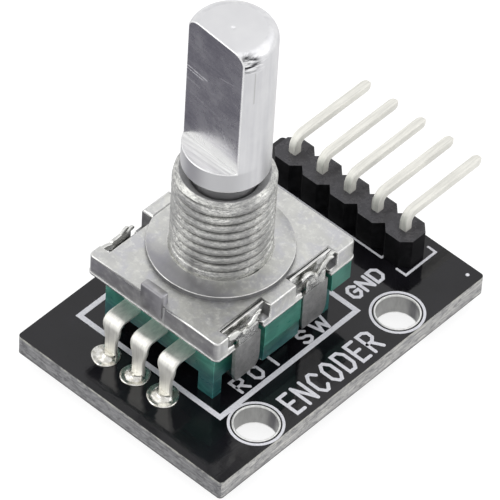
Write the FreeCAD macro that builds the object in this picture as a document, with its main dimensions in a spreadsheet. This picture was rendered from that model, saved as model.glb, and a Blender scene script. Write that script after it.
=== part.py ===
"""Rotary encoder module: a D-shaft incremental encoder with a push switch on a small board.

Millimetres. The origin is on the shaft axis at the bushing's base, where a panel would sit.
+Z runs up the shaft, +Y towards the pin header and -Y towards the three encoder terminals.
"""
import FreeCAD, Part
import math
import os
import Sketcher

os.makedirs("parts", exist_ok=True)
doc = FreeCAD.newDocument("RotaryEncoderModule")

# ---------------------------------------------------------------- driving dimensions
DIMENSIONS = {
    # circuit board, seen from above
    "board_left": -8.2, "board_right": 10.45, "board_front": -10.8, "board_back": 15.55,
    "board_under": -8.8, "board_thick": 1.6, "board_corner": 0.3,
    "hole_column": 8.5, "hole_front_row": -5.3, "hole_rear_row": 8.8,
    "hole_radius": 1.5, "plating_wall": 0.08, "plating_rim": 1.64, "plating_lip": 0.05,
    # tinned strip terminals of the encoder and of its switch
    "terminal_row": -7.7, "switch_row": 7.0, "terminal_pitch": 2.5, "terminal_wide": 1.5,
    "tail_wide": 0.8, "terminal_thick": 0.3, "terminal_level": -3.95, "switch_level": -5.4,
    "tail_end": -9.7, "lead_hole": 0.55, "pad_radius": 1.15, "cone_neck": 0.62, "cone_rise": 1.0,
    "fillet_drop": 0.75, "shoulder_rise": 1.15, "tail_overlap": 0.2,
    # joggle inside the base wall, then the wiper finger on the code disc
    "joggle_back": -5.15, "joggle_face": -4.85, "finger_level": -4.7, "finger_root": -4.25,
    "wiper_wide": 0.6, "wiper_thick": 0.15, "wiper_root": -4.3, "wiper_bend": -4.0,
    "wiper_foot": -3.85, "wiper_tip": -3.0, "wiper_pad": 0.2, "wiper_gap": 0.03,
    # switch contacts inside the well
    "strip_end": 4.0, "link_half": 0.3, "link_end": 4.1, "bridge_start": 0.35, "bridge_bar": 1.7,
    "bridge_near": 0.6, "bridge_far": 1.2,
    # pin header
    "header_row": 13.2, "pin_pitch": 2.54, "pin_side": 0.64, "cell_chamfer": 0.62,
    "header_rise": 2.5, "pin_level": -3.4, "pin_tip": 20.75, "pin_end": -9.9,
    "pin_bend": 0.7, "pin_hole": 0.5, "pin_pad": 0.85, "pin_point": 0.18,
    # moulded base of the encoder
    "base_half_wide": 4.95, "base_half_deep": 5.75, "base_top": -2.1, "base_floor": -5.45,
    "base_skirt": -6.85, "base_arch": -5.5, "foot_reach": 1.35, "skirt_wall": 0.55,
    "chamber_radius": 4.6, "chamber_floor": -4.3, "well_radius": 2.3, "well_floor": -5.1,
    "rim_half_wide": 5.85, "rim_under": -4.1, "rim_start": -1.8, "rim_pocket": 1.75,
    "apron_half_wide": 5.78, "apron_top": -4.4, "apron_under": -5.85,
    "rim_rear": 4.8, "rim_back": 6.7, "ceiling_gap": 0.05, "arch_margin": 0.1,
    "gate_margin": 0.1, "window_margin": 0.1, "window_start": -4.3, "window_end": -2.5,
    # steel mounting bracket
    "sheet": 0.3, "arm_face": 5.95, "strap_under": -5.8, "arm_shoulder": -2.15,
    "arm_front": -3.6, "arm_rear": 3.0, "arm_wide": 2.4, "tab_wide": 1.9, "head_rise": 0.4,
    "head_wide": 3.3, "strap_wide": 1.5, "rail_inner": 1.9, "rail_outer": 4.2, "tab_overlap": 0.2,
    "bracket_bend": 0.45,
    # die-cast plate and bushing
    "plate_half_wide": 6.0, "plate_left": 5.75, "plate_front": -6.75, "plate_back": 6.85,
    "plate_top": -0.4, "plate_corner": 0.4, "flange_radius": 5.04, "bushing_radius": 3.5,
    "bushing_rise": 7.0,
    "bushing_bore": 2.3, "bushing_chamfer": 0.35, "cavity_radius": 4.05, "cavity_roof": -0.95,
    "recess_radius": 4.45, "recess_roof": -1.9, "notch_inner": 5.1, "notch_left": 4.85,
    "notch_ledge": -1.6,
    "notch_long": 4.0, "slot_inner": 5.6, "slot_long": 2.7, "stop_rise": 0.85,
    "nib_wide": 1.9, "nib_deep": 0.55, "lug_long": 2.7, "lug_deep": 1.0, "lug_shift": 0.25,
    "lug_rise": 0.45,
    "casting_overlap": 0.1, "stop_overlap": 0.2,
    # shaft
    "shaft_radius": 3.0, "journal_radius": 2.25, "drive_radius": 1.9, "drive_half_flat": 1.55,
    "shaft_top": 20.0, "collar_under": 7.7, "drive_top": -1.6, "shaft_under": -4.08,
    "flat_offset": 1.5, "flat_floor": 9.5, "flat_turn": -4.4, "shaft_round": 0.8,
    "groove_radius": 1.75, "groove_under": -1.32, "groove_top": -0.98,
    "ring_radius": 3.1, "ring_under": -1.3, "ring_top": -1.0, "ring_gap": 2.6,
    # rotor and its code disc
    "rotor_radius": 4.4, "rotor_under": -3.55, "rotor_top": -2.85, "hub_radius": 2.5,
    "hub_top": -2.2, "hub_under": -4.0, "drive_clearance": 0.05, "rib_top": -2.65,
    "rib_inner": 3.35, "rib_outer": 4.2, "rib_wide": 0.35, "detent_count": 20,
    "disc_thick": 0.15, "disc_radius": 4.35, "disc_bore": 2.55,
    "window_inner": 3.5, "window_outer": 4.15, "window_wide": 0.55,
    # detent spring, plunger and snap dome
    "spring_inner": 3.4, "spring_outer": 4.4, "spring_under": -2.05, "spring_bump": 0.35,
    "spring_tip": -2.6, "bump_margin": 0.1,
    "plunger_radius": 1.0, "plunger_foot": 1.5, "plunger_under": -4.55,
    "plunger_step": -4.33, "plunger_top": -4.1, "dome_radius": 2.0, "dome_sheet": 0.08,
    "contact_radius": 0.6, "bridge_inner": 1.6, "bridge_outer": 2.15,
    # chip resistors below the board
    "chip_long": 2.0, "chip_wide": 1.25, "chip_rise": 0.5,
    "chip_column": -4.6, "chip_row": 3.2, "chip_pitch": 2.6,
}

sheet = doc.addObject("Spreadsheet::Sheet", "Dims")
for row, (alias, value) in enumerate(DIMENSIONS.items(), start=1):
    sheet.set("A%d" % row, alias.replace("_", " "))
    sheet.set("B%d" % row, repr(value))
    sheet.setAlias("B%d" % row, alias)
doc.recompute()

nodes = []


def dim(alias):
    """Value of one driving dimension."""
    return float(getattr(sheet, alias))


def bind(target, prop, formula):
    """Bind a property to a formula of sheet aliases, written with a leading # on each alias."""
    target.setExpression(prop, str(formula).replace("#", "Dims."))


def place(target, corner):
    """Bind the three coordinates of an object's placement."""
    for axis, formula in zip("xyz", corner):
        bind(target, "Placement.Base." + axis, formula)


def node(target, label):
    """Register a finished sub-part under its node name."""
    target.Label = label
    nodes.append(target)
    return target


# ---------------------------------------------------------------- primitive helpers
def box(name, size, corner):
    """Box with bound edge lengths and lowest corner."""
    solid = doc.addObject("Part::Box", name)
    for prop, formula in zip(("Length", "Width", "Height"), size):
        bind(solid, prop, formula)
    place(solid, corner)
    return solid


def span_box(name, low, high):
    """Box between two corners, each given as three formulas."""
    size = ["(%s) - (%s)" % (top, bottom) for bottom, top in zip(low, high)]
    return box(name, size, low)


def cylinder(name, radius, bottom, top, centre=("0", "0")):
    """Upright cylinder between two levels."""
    solid = doc.addObject("Part::Cylinder", name)
    bind(solid, "Radius", radius)
    bind(solid, "Height", "(%s) - (%s)" % (top, bottom))
    place(solid, (centre[0], centre[1], bottom))
    return solid


def cone(name, low_radius, high_radius, bottom, top, centre=("0", "0")):
    """Upright cone frustum between two levels."""
    solid = doc.addObject("Part::Cone", name)
    bind(solid, "Radius1", low_radius)
    bind(solid, "Radius2", high_radius)
    bind(solid, "Height", "(%s) - (%s)" % (top, bottom))
    place(solid, (centre[0], centre[1], bottom))
    return solid


def fuse(name, pieces):
    """Union of two or more pieces."""
    union = doc.addObject("Part::MultiFuse", name)
    union.Shapes = list(pieces)
    union.Refine = True
    return union


def cut(name, base, tools):
    """Base with one or more tools taken away."""
    tools = list(tools)
    tool = tools[0] if len(tools) == 1 else fuse(name + "_tools", tools)
    difference = doc.addObject("Part::Cut", name)
    difference.Base = base
    difference.Tool = tool
    difference.Refine = True
    return difference


def compound(name, pieces):
    """Several separate solids kept together in one node."""
    group = doc.addObject("Part::Compound", name)
    group.Links = list(pieces)
    return group


def turned(pieces, name, count):
    """Union of copies of one piece, spread evenly about the shaft axis."""
    copies = []
    for index in range(count):
        copy = doc.addObject("Part::Feature", "%s_%d" % (name, index))
        shape = pieces.Shape.copy()
        shape.rotate(FreeCAD.Vector(0, 0, 0), FreeCAD.Vector(0, 0, 1), 360.0 * index / count)
        copy.Shape = shape
        copies.append(copy)
    return fuse(name, copies)


def round_edges(name, base, radius, chosen):
    """Fillet the edges of a Part object that the test function picks."""
    doc.recompute()
    rounded = doc.addObject("Part::Fillet", name)
    rounded.Base = base
    rounded.Edges = [(number, radius, radius)
                     for number, edge in enumerate(base.Shape.Edges, start=1) if chosen(edge)]
    return rounded


# ---------------------------------------------------------------- sketch helpers
def origin_plane(body, role):
    return next(item for item in body.Origin.OriginFeatures if item.Role == role)


def outline(body, name, role, points):
    """Closed polygon sketch whose corners are bound to pairs of formulas."""
    sketch = body.newObject("Sketcher::SketchObject", name)
    sketch.AttachmentSupport = [(origin_plane(body, role), "")]
    sketch.MapMode = "FlatFace"
    values = [[evaluate(formula) for formula in point] for point in points]
    count = len(points)
    for index in range(count):
        first = FreeCAD.Vector(*values[index], 0)
        second = FreeCAD.Vector(*values[(index + 1) % count], 0)
        sketch.addGeometry(Part.LineSegment(first, second), False)
    for index in range(count):
        sketch.addConstraint(Sketcher.Constraint("Coincident", index, 2, (index + 1) % count, 1))
    for index in range(count):
        for kind, value, formula in zip(("DistanceX", "DistanceY"), values[index], points[index]):
            number = sketch.addConstraint(Sketcher.Constraint(kind, -1, 1, index, 1, value))
            bind(sketch, "Constraints[%d]" % number, formula)
    return sketch


def evaluate(formula):
    """Value of a formula of sheet aliases."""
    return float(sheet.evalExpression(str(formula).replace("#", "")))


def pad(body, name, sketch, length, midplane=False):
    feature = body.newObject("PartDesign::Pad", name)
    feature.Profile = sketch
    bind(feature, "Length", length)
    feature.Midplane = midplane
    return feature


def round_uprights(body, name, slab, radius):
    """Round the upright edges of a body's pad."""
    doc.recompute()
    corner = body.newObject("PartDesign::Fillet", name)
    corner.Base = (slab, ["Edge%d" % number for number, edge in enumerate(slab.Shape.Edges, 1)
                          if abs(edge.tangentAt(edge.FirstParameter).z) > 0.99])
    bind(corner, "Radius", radius)
    body.Tip = corner


def strip(name, points, wide):
    """Bent strip: a side outline in the YZ plane, padded evenly to both sides of X = 0."""
    body = doc.addObject("PartDesign::Body", name)
    pad(body, name + "_pad", outline(body, name + "_side", "YZ_Plane", points), wide, True)
    return body


# ---------------------------------------------------------------- circuit board
BOARD_TOP = "#board_under + #board_thick"
ROWS = {"front": "#hole_front_row", "rear": "#hole_rear_row"}
TERMINALS = {"a": -1, "c": 0, "b": 1}
SWITCH_SIDES = {"d": -1, "e": 1}
PINS = range(5)


def pin_column(index):
    return "(%d) * #pin_pitch" % (index - 2)


def terminal_column(side):
    return "(%d) * #terminal_pitch" % side


def board():
    body = doc.addObject("PartDesign::Body", "board_blank")
    corners = [("#board_left", "#board_front"), ("#board_right", "#board_front"),
               ("#board_right", "#board_back"), ("#board_left", "#board_back")]
    slab = pad(body, "board_pad", outline(body, "board_outline", "XY_Plane", corners),
               "#board_thick")
    round_uprights(body, "board_corners", slab, "#board_corner")
    bind(body, "Placement.Base.z", "#board_under")
    under = "#board_under - 1"
    above = BOARD_TOP + " + 1"
    drills = [cylinder("drill_mount_" + name, "#hole_radius + #plating_wall", under, above,
                       ("#hole_column", row)) for name, row in ROWS.items()]
    drills += [cylinder("drill_terminal_" + name, "#lead_hole", under, above,
                        (terminal_column(side), "#terminal_row"))
               for name, side in TERMINALS.items()]
    drills += [cylinder("drill_switch_" + name, "#lead_hole", under, above,
                        (terminal_column(side), "#switch_row"))
               for name, side in SWITCH_SIDES.items()]
    drills += [cylinder("drill_pin_%d" % index, "#pin_hole", under, above,
                        (pin_column(index), "#header_row")) for index in PINS]
    node(cut("board_cut", body, drills), "circuit_board")


def hole_platings():
    """Tinned barrels with a thin rim on both faces of the board."""
    for name, row in ROWS.items():
        spot = ("#hole_column", row)
        low = "#board_under - #plating_lip"
        high = BOARD_TOP + " + #plating_lip"
        barrel = cylinder("barrel_" + name, "#hole_radius + #plating_wall", low, high, spot)
        lower = cylinder("lower_rim_" + name, "#plating_rim", low, "#board_under", spot)
        upper = cylinder("upper_rim_" + name, "#plating_rim", BOARD_TOP, high, spot)
        bore = cylinder("barrel_bore_" + name, "#hole_radius", low + " - 1", high + " + 1", spot)
        shell = fuse("barrel_shell_" + name, [barrel, lower, upper])
        node(cut("plating_cut_" + name, shell, [bore]), "hole_plating_" + name)


# ---------------------------------------------------------------- pin header
def header_housing():
    """Row of octagonal cells, one per pin, with a square passage through each."""
    body = doc.addObject("PartDesign::Body", "header_body")
    half = "#pin_pitch / 2"
    near = half + " - #cell_chamfer"
    points = []
    for index in PINS:
        centre = pin_column(index)
        points += [("%s - %s" % (centre, half), "#header_row - (%s)" % near),
                   ("%s - (%s)" % (centre, near), "#header_row - " + half),
                   ("%s + (%s)" % (centre, near), "#header_row - " + half)]
    points.append(("%s + %s" % (pin_column(4), half), "#header_row - (%s)" % near))
    for index in reversed(PINS):
        centre = pin_column(index)
        points += [("%s + %s" % (centre, half), "#header_row + (%s)" % near),
                   ("%s + (%s)" % (centre, near), "#header_row + " + half),
                   ("%s - (%s)" % (centre, near), "#header_row + " + half)]
    points.append(("%s - %s" % (pin_column(0), half), "#header_row + (%s)" % near))
    pad(body, "header_pad", outline(body, "header_outline", "XY_Plane", points), "#header_rise")
    bind(body, "Placement.Base.z", BOARD_TOP)
    half_pin = "#pin_side / 2"
    passages = [span_box("passage_%d" % index,
                         ("%s - %s" % (pin_column(index), half_pin), "#header_row - " + half_pin,
                          BOARD_TOP + " - 1"),
                         ("%s + %s" % (pin_column(index), half_pin), "#header_row + " + half_pin,
                          BOARD_TOP + " + #header_rise + 1")) for index in PINS]
    node(cut("header_cut", body, passages), "header_housing")


def header_pins():
    """Square pins: up through the housing, round a bend and out towards +Y."""
    half = "#pin_side / 2"
    side = [("#header_row - " + half, "#pin_end + #pin_point"),
            ("#header_row - " + half + " + #pin_point", "#pin_end"),
            ("#header_row + " + half + " - #pin_point", "#pin_end"),
            ("#header_row + " + half, "#pin_end + #pin_point"),
            ("#header_row + " + half, "#pin_level - " + half),
            ("#pin_tip - #pin_point", "#pin_level - " + half),
            ("#pin_tip", "#pin_level - " + half + " + #pin_point"),
            ("#pin_tip", "#pin_level + " + half + " - #pin_point"),
            ("#pin_tip - #pin_point", "#pin_level + " + half),
            ("#header_row - " + half, "#pin_level + " + half)]
    for index in PINS:
        body = strip("pin_body_%d" % index, side, "#pin_side")
        bind(body, "Placement.Base.x", pin_column(index))
        rounded = bend(body, "pin_bends_%d" % index, "pin_bend",
                       [("#header_row + " + half, "#pin_level - " + half),
                        ("#header_row - " + half, "#pin_level + " + half)], "pin_side")
        node(rounded, "header_pin_%d" % (index + 1))


def bend(body, name, inner_radius, corners, thick):
    """Round a strip's inside corner (the first) and its outside corner (the second)."""
    doc.recompute()
    inner, outer = [(evaluate(across), evaluate(level)) for across, level in corners]
    last = body.Tip
    for suffix, spot, formula in (("inner", inner, "#" + inner_radius),
                                  ("outer", outer, "#%s + #%s" % (inner_radius, thick))):
        names = ["Edge%d" % number for number, edge in enumerate(last.Shape.Edges, 1)
                 if runs_along_x(edge, spot)]
        rounding = body.newObject("PartDesign::Fillet", "%s_%s" % (name, suffix))
        rounding.Base = (last, names)
        bind(rounding, "Radius", formula)
        body.Tip = rounding
        doc.recompute()
        last = rounding
    return body


def runs_along_x(edge, spot):
    """True for a straight edge along X that passes through the given Y and Z."""
    ends = [vertex.Point for vertex in edge.Vertexes]
    return (len(ends) == 2 and abs(ends[0].x - ends[1].x) > 0.1
            and all(math.hypot(end.y - spot[0], end.z - spot[1]) < 1e-4 for end in ends))


# ---------------------------------------------------------------- soldered joints
def solder(name, centre, hole, pad_radius, top_height, lead, neck):
    """Solder round one lead: a cone on the board, a plug in the hole and a fillet below."""
    pieces = [cylinder(name + "_plug", hole, "#board_under", BOARD_TOP, centre),
              cone(name + "_under", neck, pad_radius, "#board_under - #fillet_drop",
                   "#board_under", centre)]
    if top_height:
        pieces.append(cone(name + "_over", pad_radius, neck, BOARD_TOP,
                           "%s + %s" % (BOARD_TOP, top_height), centre))
    return cut(name + "_joint", fuse(name + "_metal", pieces), [lead])


def lead_box(name, centre, wide, thick):
    """Space that a lead takes through the board."""
    low = ("%s - (%s) / 2" % (centre[0], wide), "%s - (%s) / 2" % (centre[1], thick),
           "#board_under - 3")
    high = ("%s + (%s) / 2" % (centre[0], wide), "%s + (%s) / 2" % (centre[1], thick),
            BOARD_TOP + " + 3")
    return span_box(name, low, high)


def solder_joints():
    for name, side in TERMINALS.items():
        spot = (terminal_column(side), "#terminal_row")
        lead = lead_box("lead_" + name, spot, "#tail_wide", "#terminal_thick")
        joint = solder("solder_" + name, spot, "#lead_hole", "#pad_radius", "#cone_rise", lead,
                       "#cone_neck")
        node(joint, "terminal_solder_" + name)
    switch_joints = []
    for name, side in SWITCH_SIDES.items():
        spot = (terminal_column(side), "#switch_row")
        lead = lead_box("lead_" + name, spot, "#tail_wide", "#terminal_thick")
        switch_joints.append(solder("solder_" + name, spot, "#lead_hole", "#pad_radius",
                                    "#cone_rise", lead, "#cone_neck"))
    node(compound("switch_joints", switch_joints), "switch_solder")
    pin_joints = []
    for index in PINS:
        spot = (pin_column(index), "#header_row")
        lead = lead_box("lead_pin_%d" % index, spot, "#pin_side", "#pin_side")
        pin_joints.append(solder("solder_pin_%d" % index, spot, "#pin_hole", "#pin_pad", None,
                                 lead, "#pin_hole"))
    node(compound("pin_joints", pin_joints), "header_solder")


# ---------------------------------------------------------------- strip terminals
def wide_strip(name, row, level, lower, upper, shoulder):
    """Flat strip bent down to a shoulder above the board.

    lower and upper are the points of its two faces inside the base, away from the bend.
    """
    sign = -1 if dim(row) < 0 else 1
    face = "#%s + %d * #terminal_thick / 2" % (row, sign)
    back = "#%s - %d * #terminal_thick / 2" % (row, sign)
    top = "#%s + #terminal_thick" % level
    side = lower + [(back, "#" + level), (back, shoulder), (face, shoulder), (face, top)] + upper
    body = strip(name, side, "#terminal_wide")
    return bend(body, name + "_bends", "terminal_thick", [(back, "#" + level), (face, top)],
                "terminal_thick")


def tail(name, row, shoulder):
    """Narrow end of a strip, down through the board."""
    centre = ("0", "#" + row)
    low = ("-#tail_wide / 2", "%s - #terminal_thick / 2" % centre[1], "#tail_end")
    high = ("#tail_wide / 2", "%s + #terminal_thick / 2" % centre[1], shoulder)
    return span_box(name, low, high)


def wiper(name):
    """Springy finger that rises from a terminal's inner end to the code disc."""
    body = doc.addObject("PartDesign::Body", name)
    upper = "#rotor_under - #disc_thick - #wiper_gap"
    lower = upper + " - #wiper_thick"
    start = "#finger_level + #terminal_thick"
    side = [("#wiper_root", "#finger_level"), ("#wiper_root", start), ("#wiper_bend", start),
            ("#wiper_tip - #wiper_pad", upper), ("#wiper_tip + #wiper_pad", upper),
            ("#wiper_tip + #wiper_pad", lower), ("#wiper_tip - #wiper_pad * 3 / 4", lower),
            ("#wiper_foot", "#finger_level")]
    pad(body, name + "_pad", outline(body, name + "_side", "YZ_Plane", side), "#wiper_wide", True)
    return body


def encoder_terminals():
    """Common terminal c between phase terminals a and b, each with its wiper finger."""
    shoulder = BOARD_TOP + " + #shoulder_rise"
    finger_top = "#finger_level + #terminal_thick"
    lower = [("#finger_root", "#finger_level"), ("#joggle_back", "#finger_level"),
             ("#joggle_back", "#terminal_level")]
    upper = [("#joggle_face", "#terminal_level + #terminal_thick"), ("#joggle_face", finger_top),
             ("#finger_root", finger_top)]
    for name, side in TERMINALS.items():
        pieces = [wide_strip("strip_" + name, "terminal_row", "terminal_level", lower, upper,
                             shoulder),
                  tail("tail_" + name, "terminal_row", shoulder + " + #tail_overlap"),
                  wiper("wiper_" + name)]
        terminal = fuse("terminal_fuse_" + name, pieces)
        bind(terminal, "Placement.Base.x", terminal_column(side))
        node(terminal, "terminal_" + name)


def switch_terminals():
    """Terminal d ends in the centre contact below the dome, e in the bridge under its rim."""
    shoulder = BOARD_TOP + " + #shoulder_rise"
    top = "#switch_level + #terminal_thick"
    contact = cylinder("centre_contact", "#contact_radius", "#switch_level", top)
    link = span_box("centre_link", ("-#terminal_pitch - #link_half", "-#link_half", "#switch_level"),
                    ("0", "#link_half", top))
    riser = span_box("centre_riser",
                     ("-#terminal_pitch - #link_half", "-#link_half", "#switch_level"),
                     ("-#terminal_pitch + #link_half", "#link_end", top))
    bridge = cut("bridge_ring",
                 cylinder("bridge_disc", "#bridge_outer", "#switch_level", top),
                 [cylinder("bridge_bore", "#bridge_inner", "#switch_level - 1", top + " + 1"),
                  span_box("bridge_side",
                           ("-#bridge_outer - 1", "-#bridge_outer - 1", "#switch_level - 1"),
                           ("#bridge_start", "#bridge_outer + 1", top + " + 1"))])
    bar = span_box("bridge_bar", ("#bridge_bar", "#bridge_near", "#switch_level"),
                   ("#terminal_pitch + #link_half", "#bridge_far", top))
    run = span_box("bridge_run",
                   ("#terminal_pitch - #link_half", "#bridge_near", "#switch_level"),
                   ("#terminal_pitch + #link_half", "#link_end", top))
    inner = {"d": [contact, link, riser], "e": [bridge, bar, run]}
    for name, side in SWITCH_SIDES.items():
        outer = fuse("switch_outer_" + name,
                     [wide_strip("switch_strip_" + name, "switch_row", "switch_level",
                                 [("#strip_end", "#switch_level")], [("#strip_end", top)],
                                 shoulder),
                      tail("switch_tail_" + name, "switch_row", shoulder + " + #tail_overlap")])
        bind(outer, "Placement.Base.x", terminal_column(side))
        node(fuse("switch_fuse_" + name, [outer] + inner[name]), "switch_terminal_" + name)


# ---------------------------------------------------------------- moulded base
def encoder_base():
    """Box with side and rear rims, side aprons, a rotor chamber, a switch well and feet."""
    half_wide = "#base_half_wide"
    half_deep = "#base_half_deep"
    block = span_box("base_block", ("-" + half_wide, "-" + half_deep, "#base_skirt"),
                     (half_wide, half_deep, "#base_top"))
    feet = []
    for across in (-1, 1):
        for along in (-1, 1):
            low_x = "-#base_half_wide" if across < 0 else "#base_half_wide - #foot_reach"
            low_y = "-#base_half_deep" if along < 0 else "#base_half_deep - #foot_reach"
            feet.append(box("foot_%d_%d" % (across + 1, along + 1),
                            ("#foot_reach", "#foot_reach", "#base_skirt - (%s)" % BOARD_TOP),
                            (low_x, low_y, BOARD_TOP)))
    rims = [span_box("rim_rear", ("-#rim_half_wide", "#rim_rear", "#rim_under"),
                     ("#rim_half_wide", "#rim_back", "#base_top"))]
    for side, left, right in (("left", "-#rim_half_wide", "-#base_half_wide + #skirt_wall"),
                              ("right", "#base_half_wide - #skirt_wall", "#rim_half_wide")):
        rims.append(span_box("rim_" + side, (left, "#rim_start", "#apron_top"),
                             (right, "#rim_pocket", "#base_top")))
    for side, left, right in (("left", "-#apron_half_wide", "-#base_half_wide + #skirt_wall"),
                              ("right", "#base_half_wide - #skirt_wall", "#apron_half_wide")):
        rims.append(span_box("apron_" + side, (left, "#rim_start", "#apron_under"),
                             (right, "#rim_pocket", "#apron_top")))
    body = fuse("base_solid", [block] + feet + rims)
    chamber = cylinder("chamber", "#chamber_radius", "#chamber_floor", "#base_top + 1")
    well = cylinder("well", "#well_radius", "#well_floor", "#chamber_floor + 1")
    under = span_box("underside",
                     ("-#base_half_wide + #skirt_wall", "-#base_half_deep + #skirt_wall",
                      "#board_under"),
                     ("#base_half_wide - #skirt_wall", "#base_half_deep - #skirt_wall",
                      "#base_floor - #ceiling_gap"))
    wall_inside = "#base_half_deep - #skirt_wall - #arch_margin"
    wall_outside = "#base_half_deep + 1"
    arches = [span_box("arch_" + name,
                       ("-#base_half_wide + #foot_reach", near, "#board_under"),
                       ("#base_half_wide - #foot_reach", far, "#base_arch"))
              for name, near, far in (("front", "-(%s)" % wall_outside, "-(%s)" % wall_inside),
                                      ("rear", wall_inside, wall_outside))]
    gates = [span_box("gate_" + name,
                      ("-#base_half_wide - 1", "%s - #arm_wide / 2 - #gate_margin" % centre,
                       "#board_under"),
                      ("#base_half_wide + 1", "%s + #arm_wide / 2 + #gate_margin" % centre,
                       "#base_floor - #ceiling_gap"))
             for name, centre in (("front", "#arm_front"), ("rear", "#arm_rear"))]
    windows = [span_box("window_" + name,
                        ("%s - #wiper_wide / 2 - #window_margin" % terminal_column(side),
                         "#window_start", "#finger_level"),
                        ("%s + #wiper_wide / 2 + #window_margin" % terminal_column(side),
                         "#window_end", "#chamber_floor + 1"))
               for name, side in TERMINALS.items()]
    hollow = cut("base_hollow", body, [chamber, well, under] + arches + gates + windows)
    hollow_for_leads = cut("base_leads", hollow,
                           [item for item in nodes if "terminal_" in item.Label
                            and "solder" not in item.Label])
    node(hollow_for_leads, "encoder_base")


# ---------------------------------------------------------------- mounting bracket
def mounting_bracket():
    """Folded sheet: a plate below the base with two arms a side and crimped tabs."""
    low = "#strap_under"
    high = "#strap_under + #sheet"
    pieces = []
    for name, centre in (("front", "#arm_front"), ("rear", "#arm_rear")):
        near = "%s - #arm_wide / 2" % centre
        far = "%s + #arm_wide / 2" % centre
        pieces.append(span_box("strap_" + name,
                               ("-#arm_face", "%s - #strap_wide / 2" % centre, low),
                               ("#arm_face", "%s + #strap_wide / 2" % centre, high)))
        for side, inner, outer in (("left", "-#arm_face", "-#arm_face + #sheet"),
                                   ("right", "#arm_face - #sheet", "#arm_face")):
            pieces.append(span_box("arm_%s_%s" % (name, side), (inner, near, low),
                                   (outer, far, "#arm_shoulder")))
            pieces.append(span_box("tab_%s_%s" % (name, side),
                                   (inner, "%s - #tab_wide / 2" % centre,
                                    "#arm_shoulder - #tab_overlap"),
                                   (outer, "%s + #tab_wide / 2" % centre,
                                    "#notch_ledge + #head_rise")))
            pieces.append(span_box("head_%s_%s" % (name, side),
                                   (inner, "%s - #head_wide / 2" % centre, "#notch_ledge"),
                                   (outer, "%s + #head_wide / 2" % centre,
                                    "#notch_ledge + #head_rise")))
    for side, left, right in (("left", "-#rail_outer", "-#rail_inner"),
                              ("right", "#rail_inner", "#rail_outer")):
        pieces.append(span_box("rail_" + side, (left, "#arm_front", low),
                               (right, "#arm_rear", high)))
    sheet_metal = fuse("bracket_sheet", pieces)
    outside = dim("arm_face")
    inside = outside - dim("sheet")
    foot = dim("strap_under")

    def at_fold(edge, face, level):
        ends = [vertex.Point for vertex in edge.Vertexes]
        return (len(ends) == 2 and abs(ends[0].y - ends[1].y) > 0.5
                and all(abs(abs(end.x) - face) < 1e-4 and abs(end.z - level) < 1e-4
                        for end in ends))

    outer = round_edges("bracket_outer_bend", sheet_metal, dim("bracket_bend"),
                        lambda edge: at_fold(edge, outside, foot))
    inner = round_edges("bracket_inner_bend", outer, dim("bracket_bend") - dim("sheet"),
                        lambda edge: at_fold(edge, inside, foot + dim("sheet")))
    node(inner, "mounting_bracket")


# ---------------------------------------------------------------- die-cast plate and bushing
def bushing_plate():
    """Plate with bracket notches, a round step, the bushing and two anti-turn stops."""
    body = doc.addObject("PartDesign::Body", "plate_blank")
    points = [("-#plate_left", "#plate_front"), ("#plate_half_wide", "#plate_front"),
              ("#plate_half_wide", "#plate_back"), ("-#plate_left", "#plate_back")]
    slab = pad(body, "plate_pad", outline(body, "plate_outline", "XY_Plane", points),
               "#plate_top - #base_top")
    round_uprights(body, "plate_corners", slab, "#plate_corner")
    bind(body, "Placement.Base.z", "#base_top")
    flange = cylinder("flange", "#flange_radius", "#plate_top - #casting_overlap", "0")
    barrel = cylinder("bushing_barrel", "#bushing_radius", "-#casting_overlap",
                      "#bushing_rise - #bushing_chamfer")
    mouth = cone("bushing_mouth", "#bushing_radius", "#bushing_radius - #bushing_chamfer",
                 "#bushing_rise - #bushing_chamfer", "#bushing_rise")
    nib = span_box("nib", ("-#nib_wide / 2", "#plate_front", "#plate_top - #stop_overlap"),
                   ("#nib_wide / 2", "#plate_front + #nib_deep", "#plate_top + #stop_rise"))
    lug = span_box("lug", ("-#plate_left", "-#lug_long / 2 - #lug_shift",
                           "#plate_top - #stop_overlap"),
                   ("-#plate_left + #lug_deep", "#lug_long / 2 - #lug_shift",
                    "#plate_top + #lug_rise"))
    casting = fuse("plate_casting", [body, flange, barrel, mouth, nib, lug])
    tools = [cylinder("bushing_bore_tool", "#bushing_bore", "#base_top - 1", "#bushing_rise + 1"),
             cylinder("cavity", "#cavity_radius", "#base_top - 1", "#cavity_roof"),
             cylinder("recess", "#recess_radius", "#base_top - 1", "#recess_roof")]
    for name, centre in (("front", "#arm_front"), ("rear", "#arm_rear")):
        for side in ("left", "right"):
            edge = ("-#plate_half_wide - 1" if side == "left" else "#plate_half_wide + 1")
            ledge = ["-#notch_left" if side == "left" else "#notch_inner", edge]
            slot = ["-#slot_inner" if side == "left" else "#slot_inner", edge]
            if side == "left":
                ledge.reverse()
                slot.reverse()
            tools.append(span_box("notch_%s_%s" % (name, side),
                                  (ledge[0], "%s - #notch_long / 2" % centre, "#notch_ledge"),
                                  (ledge[1], "%s + #notch_long / 2" % centre, "1")))
            tools.append(span_box("slot_%s_%s" % (name, side),
                                  (slot[0], "%s - #slot_long / 2" % centre, "#base_top - 1"),
                                  (slot[1], "%s + #slot_long / 2" % centre, "1")))
    node(cut("plate_cut", casting, tools), "bushing_plate")


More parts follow.
